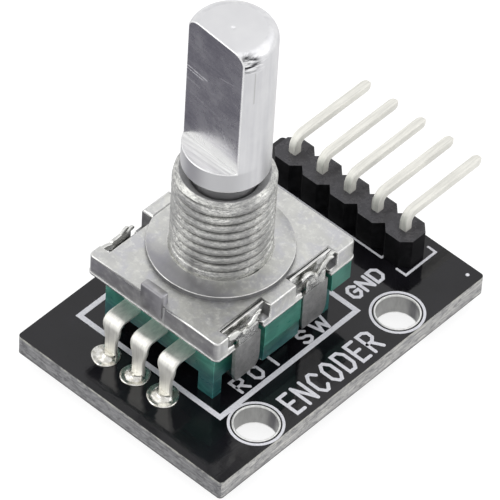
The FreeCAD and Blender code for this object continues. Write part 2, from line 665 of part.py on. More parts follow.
# ---------------------------------------------------------------- shaft
def shaft():
    """Turned shaft: D end above the bushing, journal, ring groove and two-flat drive end."""
    body = doc.addObject("PartDesign::Body", "shaft_body")
    profile = [("0", "#shaft_under"), ("#drive_radius", "#shaft_under"),
               ("#drive_radius", "#drive_top"), ("#journal_radius", "#drive_top"),
               ("#journal_radius", "#groove_under"), ("#groove_radius", "#groove_under"),
               ("#groove_radius", "#groove_top"), ("#journal_radius", "#groove_top"),
               ("#journal_radius", "#collar_under"), ("#shaft_radius", "#collar_under"),
               ("#shaft_radius", "#shaft_top"), ("0", "#shaft_top")]
    sketch = outline(body, "shaft_profile", "XZ_Plane", profile)
    turning = body.newObject("PartDesign::Revolution", "shaft_turning")
    turning.Profile = sketch
    turning.ReferenceAxis = (sketch, ["V_Axis"])
    turning.Angle = 360.0
    doc.recompute()
    top_edges = ["Edge%d" % number for number, edge in enumerate(turning.Shape.Edges, 1)
                 if abs(edge.BoundBox.ZMin - dim("shaft_top")) < 1e-4
                 and edge.BoundBox.XLength > dim("shaft_radius")]
    rounding = body.newObject("PartDesign::Fillet", "shaft_rounding")
    rounding.Base = (turning, top_edges)
    bind(rounding, "Radius", "#shaft_round")
    body.Tip = rounding
    reach = "#shaft_radius + 1"
    d_flat = box("d_flat_tool", ("2 * (%s)" % reach, reach, "#shaft_top"),
                 ("-(%s)" % reach, "-#flat_offset - (%s)" % reach, "#flat_floor"))
    d_turned = compound("d_flat_turned", [d_flat])
    d_turned.Placement.Rotation = FreeCAD.Rotation(FreeCAD.Vector(0, 0, 1), dim("flat_turn"))
    flats = [span_box("drive_flat_" + name, (left, "-(%s)" % reach, "#shaft_under - 1"),
                      (right, reach, "#drive_top"))
             for name, left, right in (("left", "-(%s)" % reach, "-#drive_half_flat"),
                                       ("right", "#drive_half_flat", reach))]
    node(cut("shaft_cut", body, [d_turned] + flats), "shaft")


def retaining_ring():
    """Open clip in the shaft's groove, which keeps the shaft from pulling out."""
    disc = cylinder("ring_disc", "#ring_radius", "#ring_under", "#ring_top")
    bore = cylinder("ring_bore", "#groove_radius", "#ring_under - 1", "#ring_top + 1")
    mouth = span_box("ring_mouth", ("0", "-#ring_gap / 2", "#ring_under - 1"),
                     ("#ring_radius + 1", "#ring_gap / 2", "#ring_top + 1"))
    node(cut("ring_cut", disc, [bore, mouth]), "retaining_ring")


# ---------------------------------------------------------------- rotor
def rotor():
    """Moulded disc and hub, driven by the shaft's two flats, with a ring of detent ribs."""
    disc = cylinder("rotor_disc", "#rotor_radius", "#rotor_under", "#rotor_top")
    hub = cylinder("rotor_hub", "#hub_radius", "#hub_under", "#hub_top")
    rib = span_box("rib", ("#rib_inner", "-#rib_wide / 2", "#rotor_under"),
                   ("#rib_outer", "#rib_wide / 2", "#rib_top"))
    doc.recompute()
    ribs = turned(rib, "ribs", int(dim("detent_count")))
    moulding = fuse("rotor_moulding", [disc, hub, ribs])
    socket_round = cylinder("socket_round", "#drive_radius + #drive_clearance",
                            "#hub_under - 1", "#hub_top + 1")
    socket_slab = span_box("socket_slab",
                           ("-#drive_half_flat - #drive_clearance", "-#hub_radius",
                            "#hub_under - 1"),
                           ("#drive_half_flat + #drive_clearance", "#hub_radius",
                            "#hub_top + 1"))
    socket = doc.addObject("Part::Common", "socket")
    socket.Base = socket_round
    socket.Tool = socket_slab
    node(cut("rotor_cut", moulding, [socket]), "rotor")


def code_disc():
    """Thin metal disc below the rotor, with one window for each pulse."""
    under = "#rotor_under - #disc_thick"
    disc = cylinder("code_blank", "#disc_radius", under, "#rotor_under")
    bore = cylinder("code_bore", "#disc_bore", under + " - 1", "#rotor_under + 1")
    window = span_box("code_window", ("#window_inner", "-#window_wide / 2", under + " - 1"),
                      ("#window_outer", "#window_wide / 2", "#rotor_under + 1"))
    doc.recompute()
    windows = turned(window, "code_windows", int(dim("detent_count")))
    node(cut("code_cut", disc, [bore, windows]), "code_disc")


def detent_spring():
    """Flat ring with two bumps that click over the rotor's ribs."""
    ring = cut("spring_ring",
               cylinder("spring_disc", "#spring_outer", "#spring_under", "#recess_roof"),
               [cylinder("spring_bore", "#spring_inner", "#spring_under - 1",
                         "#recess_roof + 1")])
    bumps = []
    for side in (-1, 1):
        bump = doc.addObject("Part::Cylinder", "spring_bump_%d" % (side + 1))
        bind(bump, "Radius", "#spring_bump")
        bind(bump, "Height", "#spring_outer - #spring_inner - 2 * #bump_margin")
        bump.Placement.Rotation = FreeCAD.Rotation(FreeCAD.Vector(0, 1, 0), 90)
        start = "#spring_inner + #bump_margin" if side > 0 else "-#spring_outer + #bump_margin"
        place(bump, (start, "0", "#spring_tip + #spring_bump"))
        bumps.append(bump)
    trim = span_box("spring_trim", ("-#spring_outer - 1", "-1", "#recess_roof"),
                    ("#spring_outer + 1", "1", "#plate_top"))
    node(cut("spring_cut", fuse("spring_fuse", [ring] + bumps), [trim]), "detent_spring")


# ---------------------------------------------------------------- push switch
def switch_plunger():
    """Button between the shaft's end and the dome."""
    node(fuse("plunger_fuse",
              [cylinder("plunger_stem", "#plunger_radius", "#plunger_under", "#plunger_top"),
               cylinder("plunger_pad", "#plunger_foot", "#plunger_under", "#plunger_step")]),
         "switch_plunger")


def snap_dome():
    """Shallow spherical cap of spring steel, its rim on the well's floor."""
    rise = dim("plunger_under") - dim("well_floor")
    rim = dim("dome_radius")
    outer = (rim * rim + rise * rise) / (2.0 * rise)
    centre = FreeCAD.Vector(0, 0, dim("well_floor") + rise - outer)
    ball = Part.makeSphere(outer, centre)
    hollow = Part.makeSphere(outer - dim("dome_sheet"), centre)
    keep = Part.makeCylinder(rim, rise, FreeCAD.Vector(0, 0, dim("well_floor")))
    dome = doc.addObject("Part::Feature", "dome_shell")
    dome.Shape = ball.cut(hollow).common(keep)
    node(dome, "snap_dome")


# ---------------------------------------------------------------- chip resistors
def chip_resistors():
    """Two pull-up resistors below the board: a ceramic chip with a cap on each end."""
    for index in range(2):
        row = "#chip_row - %d * #chip_pitch" % index
        low = ("#chip_column - #chip_long / 2", row + " - #chip_wide / 2",
               "#board_under - #chip_rise")
        high = ("#chip_column + #chip_long / 2", row + " + #chip_wide / 2", "#board_under")
        node(span_box("chip_%d" % index, low, high), "chip_resistor_%d" % (index + 1))


board()
hole_platings()
header_housing()
header_pins()
solder_joints()
encoder_terminals()
switch_terminals()
doc.recompute()
encoder_base()
mounting_bracket()
bushing_plate()
shaft()
retaining_ring()
rotor()
code_disc()
detent_spring()
switch_plunger()
snap_dome()
chip_resistors()
doc.recompute()

# ---------------------------------------------------------------- checks and export
failed = [item.Name for item in doc.Objects
          if "Invalid" in item.State or "Error" in item.State]
if failed:
    raise RuntimeError("failed objects: %s" % ", ".join(failed))
for item in nodes:
    if item.Shape.isNull() or not item.Shape.isValid():
        raise RuntimeError("bad shape: " + item.Label)
for item in nodes:
    item.Shape.exportStep(os.path.join("parts", item.Label + ".step"))
    print("%-22s %2d solid(s) %9.3f mm3" % (item.Label, len(item.Shape.Solids),
                                            item.Shape.Volume))
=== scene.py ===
"""Rotary encoder module: the looks of every visible piece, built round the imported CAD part.

Points and sizes in this script are millimetres in the part's own frame, worked out from the CAD
nodes' boxes; a piece is scaled to metres when its mesh is made.
"""

import math

import bmesh
import bpy
from mathutils import Matrix, Vector, noise


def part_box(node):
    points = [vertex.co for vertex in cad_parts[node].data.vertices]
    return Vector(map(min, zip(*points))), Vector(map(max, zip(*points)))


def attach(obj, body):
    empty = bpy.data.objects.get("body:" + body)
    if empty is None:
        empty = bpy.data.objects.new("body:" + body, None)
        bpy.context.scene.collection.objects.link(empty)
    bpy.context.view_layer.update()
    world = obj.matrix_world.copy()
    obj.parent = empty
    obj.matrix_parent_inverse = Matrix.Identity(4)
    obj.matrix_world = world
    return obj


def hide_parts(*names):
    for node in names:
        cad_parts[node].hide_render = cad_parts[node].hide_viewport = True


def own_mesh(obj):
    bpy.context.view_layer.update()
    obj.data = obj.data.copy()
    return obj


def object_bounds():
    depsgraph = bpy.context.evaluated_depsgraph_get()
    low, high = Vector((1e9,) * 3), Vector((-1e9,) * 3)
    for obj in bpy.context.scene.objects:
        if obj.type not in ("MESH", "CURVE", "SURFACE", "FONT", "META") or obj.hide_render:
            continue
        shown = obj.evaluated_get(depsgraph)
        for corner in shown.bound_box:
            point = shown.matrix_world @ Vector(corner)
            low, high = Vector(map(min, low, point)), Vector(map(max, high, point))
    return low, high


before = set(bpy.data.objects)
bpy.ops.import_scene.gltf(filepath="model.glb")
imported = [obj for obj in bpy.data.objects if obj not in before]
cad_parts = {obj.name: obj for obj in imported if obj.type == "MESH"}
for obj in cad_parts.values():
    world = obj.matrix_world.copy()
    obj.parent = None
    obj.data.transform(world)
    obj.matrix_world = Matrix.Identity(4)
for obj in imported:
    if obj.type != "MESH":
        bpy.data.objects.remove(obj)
cad_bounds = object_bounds()

MM = 0.001
TAU = 2.0 * math.pi
SMOOTH_ANGLE = math.radians(35.0)
THREAD_CREST = 3.5
THREAD_DEPTH = 0.24
MOUTH_RADIUS = THREAD_CREST - 0.42
FLANGE_RADIUS = 5.04
BRACKET_ROWS = (-3.6, 3.0)


# ================================================================= mesh helpers
def box_mm(node):
    """Lowest and highest corner of a CAD node, in millimetres."""
    low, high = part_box(node)
    return low / MM, high / MM


def middle(node):
    """Centre of a CAD node's box, in millimetres."""
    low, high = box_mm(node)
    return (low + high) / 2.0


class Shell:
    """Points and faces gathered for one piece; each face keeps the number of its material."""

    def __init__(self):
        self.points = []
        self.faces = []
        self.paints = []

    def add(self, points, faces, paint=0):
        start = len(self.points)
        self.points += [tuple(point) for point in points]
        self.faces += [tuple(start + index for index in face) for face in faces]
        self.paints += [paint] * len(faces)

    def loft(self, loops, paint=0, caps=True, closed=False):
        """Skin over loops that have equally many points; closed joins the last to the first."""
        count = len(loops[0])
        faces = []
        rows = len(loops) if closed else len(loops) - 1
        for row in range(rows):
            low = row * count
            high = (row + 1) % len(loops) * count
            for index in range(count):
                after = (index + 1) % count
                faces.append((low + index, low + after, high + after, high + index))
        if caps and not closed:
            faces.append(tuple(reversed(range(count))))
            faces.append(tuple((len(loops) - 1) * count + index for index in range(count)))
        self.add([point for loop in loops for point in loop], faces, paint)


def ramp(value, start, length):
    """0 up to a start, then a straight rise to 1 over a length."""
    return min(max((value - start) / length, 0.0), 1.0)


def ease(share):
    """Share from 0 to 1 with a soft start and end."""
    return share * share * (3.0 - 2.0 * share)


def path_length(path):
    """Length of a path of points."""
    return sum((path[i + 1] - path[i]).length for i in range(len(path) - 1))


def beside(column):
    """Placing function for a sweep in the plane across X at a column."""
    return lambda across, y, z: (column + across, y, z)


def close_holes(grid):
    """Fill every open rim of a bmesh with a face."""
    open_edges = [edge for edge in grid.edges if edge.is_boundary]
    bmesh.ops.holes_fill(grid, edges=open_edges, sides=0)


def slice_grid(grid, point, normal, clear):
    """Cut a bmesh along a plane through a point in millimetres; clear drops the far side."""
    bmesh.ops.bisect_plane(grid, geom=grid.verts[:] + grid.edges[:] + grid.faces[:],
                           plane_co=[value * MM for value in point], plane_no=normal,
                           clear_outer=clear)


def add_bevel(piece, width, segments=2, angle=30.0, paint=-1, swell=None):
    """Round a piece's sharp outward edges by a width in millimetres; inward edges stay sharp.

    swell(middle of edge) may give a share of the width for some edges.
    """
    mesh = piece.data
    grid = bmesh.new()
    grid.from_mesh(mesh)
    layer = grid.edges.layers.float.new("bevel_weight_edge")
    for edge in grid.edges:
        if len(edge.link_faces) == 2 and edge.is_convex \
                and edge.calc_face_angle(0.0) > math.radians(angle):
            spot = (edge.verts[0].co + edge.verts[1].co) / (2.0 * MM)
            edge[layer] = swell(spot) if swell else 1.0
    grid.to_mesh(mesh)
    grid.free()
    modifier = piece.modifiers.new("edges", "BEVEL")
    modifier.width = width * MM
    modifier.segments = segments
    modifier.limit_method = "WEIGHT"
    modifier.use_clamp_overlap = True
    modifier.harden_normals = True
    modifier.material = paint
    return modifier


def link(thing):
    """Put an object in the scene."""
    bpy.context.scene.collection.objects.link(thing)


def make_piece(name, source, materials, body="module", stands_for=()):
    """Mesh object from a Shell or a bmesh, riding on a body."""
    mesh = bpy.data.meshes.new(name)
    if isinstance(source, Shell):
        mesh.from_pydata([Vector(point) * MM for point in source.points], [], source.faces)
        mesh.polygons.foreach_set("material_index", source.paints)
        cleaner = bmesh.new()
        cleaner.from_mesh(mesh)
        bmesh.ops.remove_doubles(cleaner, verts=cleaner.verts, dist=0.0005 * MM)
        bmesh.ops.recalc_face_normals(cleaner, faces=cleaner.faces)
        cleaner.to_mesh(mesh)
        cleaner.free()
    else:
        source.to_mesh(mesh)
        source.free()
    for material in materials:
        mesh.materials.append(material)
    mesh.shade_smooth()
    mesh.set_sharp_from_angle(angle=SMOOTH_ANGLE)
    piece = bpy.data.objects.new(name, mesh)
    link(piece)
    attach(piece, body)
    if stands_for:
        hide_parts(*stands_for)
    return piece


def cad_copy(node):
    """Clean bmesh of a CAD node: doubled points joined and flat faces made whole."""
    copy = bmesh.new()
    copy.from_mesh(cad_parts[node].data)
    bmesh.ops.remove_doubles(copy, verts=copy.verts, dist=0.001 * MM)
    bmesh.ops.dissolve_limit(copy, angle_limit=math.radians(0.5), verts=copy.verts,
                             edges=copy.edges)
    return copy


def circle(radius, level, count, centre=(0.0, 0.0)):
    """Ring of points."""
    points = []
    for index in range(count):
        angle = TAU * index / count
        points.append((centre[0] + radius * math.cos(angle),
                       centre[1] + radius * math.sin(angle), level))
    return points


def arc(centre, radii, start, end, count):
    """Points along part of an ellipse in a plane, angles in degrees."""
    points = []
    for index in range(count + 1):
        angle = math.radians(start + (end - start) * index / count)
        points.append((centre[0] + radii[0] * math.cos(angle),
                       centre[1] + radii[1] * math.sin(angle)))
    return points


def rounded_path(corners, radii, spacing=0.12):
    """Dense points along straight runs joined by arcs; one radius for each inner corner."""
    path = [Vector(corners[0])]
    for index, radius in enumerate(radii, start=1):
        corner = Vector(corners[index])
        back = (Vector(corners[index - 1]) - corner).normalized()
        ahead = (Vector(corners[index + 1]) - corner).normalized()
        half = back.angle(ahead) / 2.0
        reach = radius / math.tan(half)
        centre = corner + (back + ahead).normalized() * (radius / math.sin(half))
        first = corner + back * reach
        last = corner + ahead * reach
        steps = 10
        turn = (first - centre).angle_signed(last - centre)
        for step in range(steps + 1):
            spoke = (first - centre).copy()
            spoke.rotate(Matrix.Rotation(-turn * step / steps, 2))
            path.append(centre + spoke)
    path.append(Vector(corners[-1]))
    dense = [path[0]]
    for point in path[1:]:
        run = point - dense[-1]
        if run.length < 1e-6:
            continue
        start = dense[-1].copy()
        pieces = max(1, round(run.length / spacing))
        dense += [start + run * (step / pieces) for step in range(1, pieces + 1)]
    return dense


def sweep(path, section, place):
    """Loops of a section carried along a flat path.

    section(share, length) gives points (across, out) at a share of the path; place turns
    (across, first, second) into x, y, z.
    """
    total = path_length(path)
    loops = []
    gone = 0.0
    for index, point in enumerate(path):
        if index:
            gone += (point - path[index - 1]).length
        before = path[max(index - 1, 0)]
        after = path[min(index + 1, len(path) - 1)]
        tangent = (after - before).normalized()
        out = Vector((-tangent.y, tangent.x))
        loop = []
        for across, lift in section(gone / total, gone):
            spot = point + out * lift
            loop.append(place(across, spot.x, spot.y))
        loops.append(loop)
    return loops


def rounded_rectangle(half_wide, half_thick, corner, steps=3):
    """Section outline with rounded corners, as (across, out) points."""
    points = []
    for quarter, (side, up) in enumerate(((1, 1), (-1, 1), (-1, -1), (1, -1))):
        centre = (side * (half_wide - corner), up * (half_thick - corner))
        points += arc(centre, (corner, corner), 90 * quarter, 90 * quarter + 90, steps)
    return points


def plain_section(half_wide, half_thick, corner):
    """Section for a sweep that stays the same all along."""
    return lambda share, gone: rounded_rectangle(half_wide, half_thick, corner)


# ================================================================= material helpers
class Nodes:
    """Short ways to add nodes to a tree and to join them."""

    def __init__(self, tree):
        self.tree = tree

    def node(self, kind, settings=None, **inputs):
        node = self.tree.nodes.new(kind)
        for key, value in (settings or {}).items():
            setattr(node, key, value)
        for key, value in inputs.items():
            self.feed(node.inputs[key.replace("_", " ")], value)
        return node

    def feed(self, socket, value):
        if isinstance(value, bpy.types.NodeSocket):
            self.tree.links.new(value, socket)
        else:
            socket.default_value = value

    def vector(self, operation, first, second, output=0):
        node = self.node("ShaderNodeVectorMath", {"operation": operation})
        self.feed(node.inputs[0], first)
        self.feed(node.inputs[1], second)
        return node.outputs[output]

    def measure(self, operation, first, second=(0.0, 0.0, 0.0)):
        """Number that a vector operation gives."""
        return self.vector(operation, first, second, "Value")

    def number(self, operation, first, second=0.0, clamp=False):
        node = self.node("ShaderNodeMath", {"operation": operation, "use_clamp": clamp})
        self.feed(node.inputs[0], first)
        self.feed(node.inputs[1], second)
        return node.outputs[0]

    def times(self, first, second):
        return self.number("MULTIPLY", first, second)

    def weigh(self, *parts):
        """Sum of values, each times its own share."""
        total = self.times(*parts[0])
        for value, share in parts[1:]:
            total = self.number("ADD", total, self.times(value, share))
        return total

    def mix_number(self, share, first, second):
        """Number between two numbers."""
        node = self.node("ShaderNodeMix", {"data_type": "FLOAT"})
        for number, value in ((0, share), (2, first), (3, second)):
            self.feed(node.inputs[number], value)
        return node.outputs[0]

    def span(self, value, low, high, first=0.0, last=1.0, shape="LINEAR"):
        """Map of a value from low..high to first..last, held at both ends."""
        node = self.node("ShaderNodeMapRange", {"interpolation_type": shape}, Value=value)
        for key, number in zip(("From Min", "From Max", "To Min", "To Max"),
                               (low, high, first, last)):
            node.inputs[key].default_value = number
        return node.outputs["Result"]

    def mix(self, share, first, second):
        """Colour between two colours; a single number is a grey."""
        node = self.node("ShaderNodeMix", {"data_type": "RGBA"})
        self.feed(node.inputs[0], share)
        for socket, value in ((node.inputs[6], first), (node.inputs[7], second)):
            value = (value,) * 3 if isinstance(value, float) else value
            self.feed(socket, (*value, 1.0) if isinstance(value, tuple) else value)
        return node.outputs[2]

    def blend(self, value, low, high, first, second):
        """Colour that goes from the first to the second as a value goes from low to high."""
        return self.mix(self.span(value, low, high), first, second)


class Paint(Nodes):
    """Builds the node tree of one material, with noise in millimetres of the part's frame."""

    def __init__(self, name, color, metallic=0.0, roughness=0.5):
        self.material = bpy.data.materials.new(name)
        self.material.use_nodes = True
        super().__init__(self.material.node_tree)
        self.shader = self.tree.nodes["Principled BSDF"]
        self.shader.inputs["Metallic"].default_value = metallic
        self.shader.inputs["Roughness"].default_value = roughness
        self.shader.inputs["Base Color"].default_value = (*color, 1.0)
        coordinates = self.tree.nodes.new("ShaderNodeTexCoord")
        self.position = self.vector("MULTIPLY", coordinates.outputs["Object"],
                                    (1.0 / MM, 1.0 / MM, 1.0 / MM))
        self.normal = None

    def noise(self, scale, detail=3.0, stretch=(1.0, 1.0, 1.0), roughness=0.55, warp=0.0):
        """Noise between 0 and 1; scale is repeats in a millimetre, stretch per axis."""
        spot = self.vector("MULTIPLY", self.position, stretch)
        node = self.node("ShaderNodeTexNoise", Vector=spot, Scale=scale, Detail=detail,
                         Roughness=roughness, Distortion=warp)
        return node.outputs["Fac"]

    def axis(self, name):
        node = self.node("ShaderNodeSeparateXYZ", Vector=self.position)
        return node.outputs[name]

    def reach(self):
        """Distance from the part's Z axis."""
        flat = self.vector("MULTIPLY", self.position, (1.0, 1.0, 0.0))
        return self.measure("LENGTH", flat)

    def near(self, spot, outer, inner):
        """1 within an inner distance of a spot, fading to 0 at the outer one."""
        return self.span(self.measure("DISTANCE", self.position, spot), outer, inner)

    def scratch(self, start, end, width):
        """1 on the straight line between two spots, fading out over a width."""
        run = Vector(end) - Vector(start)
        away = self.vector("SUBTRACT", self.position, start)
        along = self.measure("DOT_PRODUCT", away, run / run.length_squared)
        share = self.number("MULTIPLY", along, 1.0, clamp=True)
        nearest = self.vector("MULTIPLY", run, share)
        return self.span(self.measure("DISTANCE", away, nearest), width, width * 0.3)

    def color(self, value):
        self.feed(self.shader.inputs["Base Color"], value)

    def roughness(self, value):
        self.feed(self.shader.inputs["Roughness"], value)

    def set(self, **values):
        for key, value in values.items():
            self.feed(self.shader.inputs[key.replace("_", " ")], value)

    def bump(self, height, depth, strength=1.0):
        """Relief of a depth in millimetres, on top of any relief given before."""
        node = self.node("ShaderNodeBump", Height=height, Strength=strength,
                         Distance=depth * MM)
        if self.normal is not None:
            self.tree.links.new(self.normal, node.inputs["Normal"])
        self.normal = node.outputs["Normal"]
        self.tree.links.new(self.normal, self.shader.inputs["Normal"])


# ================================================================= materials
def mask_paint():
    """Glossy black solder mask with the glass weave just showing through."""
    paint = Paint("solder_mask_black", (0.005, 0.0048, 0.006), roughness=0.09)
    cloud = paint.noise(0.35, 4.0)
    paint.color(paint.blend(cloud, 0.35, 0.7, (0.004, 0.0038, 0.005),
                          (0.009, 0.0085, 0.011)))
    speck = paint.noise(9.0, 2.0)
    paint.roughness(paint.span(speck, 0.3, 0.75, 0.07, 0.15))
    weave_x = paint.noise(1.6, 1.0, (2.2, 0.35, 1.0))
    weave_y = paint.noise(1.6, 1.0, (0.35, 2.2, 1.0))
    paint.bump(paint.number("ADD", weave_x, weave_y), 0.01, 0.5)
    paint.bump(speck, 0.0012, 0.5)
    paint.set(Specular_IOR_Level=0.5)
    return paint.material


def laminate_paint(name, dark, pale, run):
    """Routed edge of the glass-epoxy laminate; run is how its fibres are drawn out per axis."""
    paint = Paint(name, dark, roughness=0.7)
    level = paint.axis("Z")
    layers = paint.noise(1.0, 3.0, (0.2, 0.2, 7.0))
    fibres = paint.noise(5.0, 4.0, run, 0.7)
    tufts = paint.noise(3.4, 4.0, tuple(0.5 + share * 0.5 for share in run), 0.75)
    fuzz = paint.noise(22.0, 2.0)
    grey = paint.blend(fibres, 0.38, 0.64, dark, pale)
    shade = tuple(channel * 0.45 for channel in dark)
    layered = paint.mix(paint.span(layers, 0.48, 0.66, 0.0, 0.5), grey, shade)
    speckled = paint.mix(paint.span(tufts, 0.5, 0.62, 0.0, 0.75), layered, shade)
    # Painted highlight: a lighter olive streak along the top arris of the edge.
    near_top = paint.span(level, BOARD_TOP - 0.24, BOARD_TOP - 0.12)
    top_arris_painted_highlight = paint.times(near_top, paint.span(tufts, 0.4, 0.55, 0.75, 0.1))
    topped = paint.mix(top_arris_painted_highlight, speckled, (0.46, 0.46, 0.4))
    near_foot = paint.span(level, BOARD_LOW + 0.2, BOARD_LOW + 0.08, 0.0, 0.7)
    paint.color(paint.mix(near_foot, topped, 0.05))
    paint.bump(fibres, 0.06, 0.6)
    paint.bump(tufts, 0.05, 0.5)
    paint.bump(fuzz, 0.015, 0.5)
    return paint.material


def ink_paint():
    """White legend ink, a little uneven where it was screened."""
    paint = Paint("legend_ink", (0.72, 0.72, 0.76), roughness=0.55)
    grain = paint.noise(7.0, 3.0)
    paint.color(paint.blend(grain, 0.35, 0.7, (0.66, 0.66, 0.71), (0.8, 0.8, 0.83)))
    paint.bump(grain, 0.006, 0.5)
    return paint.material


def tin_paint(name, color, roughness, streak, depth, metal=1.0):
    """Tin finish: a soft metal sheen with streaks along one axis."""
    paint = Paint(name, color, metal, roughness)
    streaks = paint.noise(3.2, 4.0, streak, 0.6, 0.2)
    cloud = paint.noise(1.3, 3.0)
    dull = tuple(channel * 0.8 for channel in color)
    paint.color(paint.blend(streaks, 0.32, 0.62, dull, color))
    both = paint.weigh((streaks, 0.6), (cloud, 0.4))
    paint.roughness(paint.span(both, 0.3, 0.7, roughness * 0.8, roughness * 1.3))
    paint.bump(streaks, depth, 0.8)
    paint.bump(cloud, depth * 2.0, 0.5)
    return paint.material


def solder_paint():
    """Bright solder that cooled smooth, with slow ripples and a few dull patches."""
    paint = Paint("solder_bright", (0.82, 0.81, 0.77), 1.0, 0.2)
    ripple = paint.noise(1.7, 2.0, warp=0.8)
    patch = paint.noise(3.2, 3.0)
    paint.color(paint.blend(patch, 0.36, 0.6, (0.6, 0.58, 0.52), (0.84, 0.83, 0.79)))
    paint.roughness(paint.span(patch, 0.35, 0.65, 0.34, 0.14))
    paint.bump(ripple, 0.06, 0.55)
    paint.bump(patch, 0.012, 0.4)
    return paint.material


def header_paint():
    """Black moulded header plastic: scuffed satin tops and smoother walls, the tops painted a
    lighter grey and the walls a darker black as painted light from above.
    """
    paint = Paint("header_plastic_dark", (0.012, 0.0115, 0.013), roughness=0.5)
    grain = paint.noise(16.0, 3.0)
    scuff_and_sheen = paint.noise(2.2, 4.0, roughness=0.7)
    facing = paint.node("ShaderNodeNewGeometry").outputs["Normal"]
    upward = paint.node("ShaderNodeSeparateXYZ", Vector=facing).outputs["Z"]
    top = paint.span(upward, 0.75, 0.97)
    edge = paint.times(paint.span(upward, 0.2, 0.5), paint.span(upward, 0.92, 0.6))
    # Painted light and shade: faces that look up get a lighter black than the walls; scuffs vary
    # both and wear the top edges paler.
    walls = paint.blend(scuff_and_sheen, 0.45, 0.75, (0.0035, 0.0034, 0.004),
                      (0.014, 0.0135, 0.015))
    tops = paint.blend(scuff_and_sheen, 0.35, 0.7, (0.026, 0.025, 0.03), (0.05, 0.048, 0.055))
    wear_and_painted_shade = paint.mix(paint.times(edge, paint.span(scuff_and_sheen, 0.42, 0.6)),
                     paint.mix(top, walls, tops), 0.2)
    paint.color(wear_and_painted_shade)
    paint.roughness(paint.mix_number(top, paint.span(scuff_and_sheen, 0.3, 0.7, 0.42, 0.62),
                                     paint.span(scuff_and_sheen, 0.3, 0.7, 0.2, 0.34)))
    paint.set(Specular_IOR_Level=paint.span(upward, 0.5, 0.9, 0.12, 0.6))
    paint.bump(grain, 0.008, 0.5)
    return paint.material


def green_paint(name, lift):
    """Teal moulded base, faintly translucent: greener above its ledge; bluer below, and darker
    there as painted shade under the ledge.
    """
    paint = Paint(name, (0.03, 0.2, 0.16), roughness=0.38)
    cloud = paint.noise(0.7, 3.0, (1.0, 1.0, 0.5))
    grain = paint.noise(14.0, 3.0)
    flow = paint.noise(1.5, 3.0, (0.5, 0.5, 2.4), 0.6, 0.4)

    # lift above 1 makes a lighter copy of the teal, used as a painted highlight on the base's
    # edges.
    def shade(color):
        return tuple(channel * lift + (lift - 1.0) * 0.02 for channel in color)

    upper = paint.blend(cloud, 0.35, 0.65, shade((0.017, 0.11, 0.085)),
                      shade((0.034, 0.18, 0.135)))
    # Painted shade: the wall below the ledge is darker as well as bluer.
    lower = paint.blend(cloud, 0.35, 0.65, shade((0.008, 0.06, 0.065)),
                      shade((0.02, 0.11, 0.11)))
    base_tone = paint.blend(paint.axis("Z"), -5.3, -4.3, lower, upper)
    paint.color(paint.mix(paint.span(flow, 0.5, 0.72, 0.0, 0.4), base_tone,
                          shade((0.11, 0.32, 0.26))))
    paint.roughness(paint.span(flow, 0.3, 0.7, 0.26, 0.46))
    paint.bump(grain, 0.01, 0.5)
    paint.bump(flow, 0.03, 0.35)
    paint.set(Subsurface_Weight=0.08, Subsurface_Scale=0.0006)
    return paint.material


def steel_paint(name, color, roughness, wear=0.14):
    """Nickel-plated sheet steel: rolled grain with fine bright specks and cloudy wear."""
    paint = Paint(name, color, 1.0, roughness)
    cloud = paint.noise(1.1, 4.0, roughness=0.65)
    patch = paint.noise(2.6, 4.0, roughness=0.7)
    speck = paint.noise(13.0, 2.0)
    dull = tuple(channel * (1.0 - wear) for channel in color)
    tone = paint.weigh((cloud, 0.5), (patch, 0.5))
    paint.color(paint.blend(tone, 0.38, 0.62, dull, color))
    paint.roughness(paint.span(speck, 0.3, 0.7, roughness * 0.75, roughness * 1.3))
    paint.bump(speck, 0.006, 0.6)
    paint.bump(patch, 0.02 + wear * 0.08, 0.5)
    return paint.material


def zinc_paint(name, low, high):
    """Die-cast zinc: satin skin with fine casting grain and flow clouds; painted shade darkens the
    front of the flange's top and the plate's front face.
    """
    paint = Paint(name, low, 1.0, 0.4)
    cloud = paint.noise(0.45, 4.0, roughness=0.65)
    tint = paint.noise(0.7, 3.0, warp=0.6)
    grain = paint.noise(9.0, 3.0, roughness=0.7)
    mottle = paint.noise(2.4, 4.0, roughness=0.7)
    pale = paint.blend(cloud, 0.32, 0.68, low, high)
    cool = tuple(channel * share for channel, share in zip(high, (0.86, 0.86, 0.95)))
    tinted = paint.mix(paint.span(tint, 0.48, 0.66, 0.0, 0.8), pale, cool)
    bright = tuple(min(1.0, channel * 1.25) for channel in high)
    spotted = paint.mix(paint.span(mottle, 0.5, 0.7, 0.0, 0.7), tinted, bright)
    dark = tuple(channel * 0.55 for channel in low)
    grained = paint.mix(paint.span(grain, 0.6, 0.8, 0.0, 0.3), spotted, dark)
    # Painted shade: the front part of the flange's top is darkened where it mirrors the bushing.
    front = paint.times(paint.span(paint.axis("Y"), -2.6, -4.0),
                         paint.span(paint.reach(), 5.35, 5.0))
    wear_and_painted_shade = paint.times(front, paint.span(paint.axis("Z"), -0.1, -0.03))
    shaded = paint.mix(paint.times(wear_and_painted_shade, 0.75), grained, (0.29, 0.285, 0.315))
    # Painted shade on the plate's front face.
    front_face_painted_shade = paint.times(paint.span(paint.axis("Y"), -6.62, -6.72),
                       paint.span(mottle, 0.3, 0.7, 0.85, 0.55))
    paint.color(paint.mix(front_face_painted_shade, shaded, (0.3, 0.295, 0.31)))
    paint.roughness(paint.span(mottle, 0.3, 0.7, 0.34, 0.46))
    paint.bump(grain, 0.008, 0.6)
    paint.bump(mottle, 0.03, 0.5)
    return paint.material


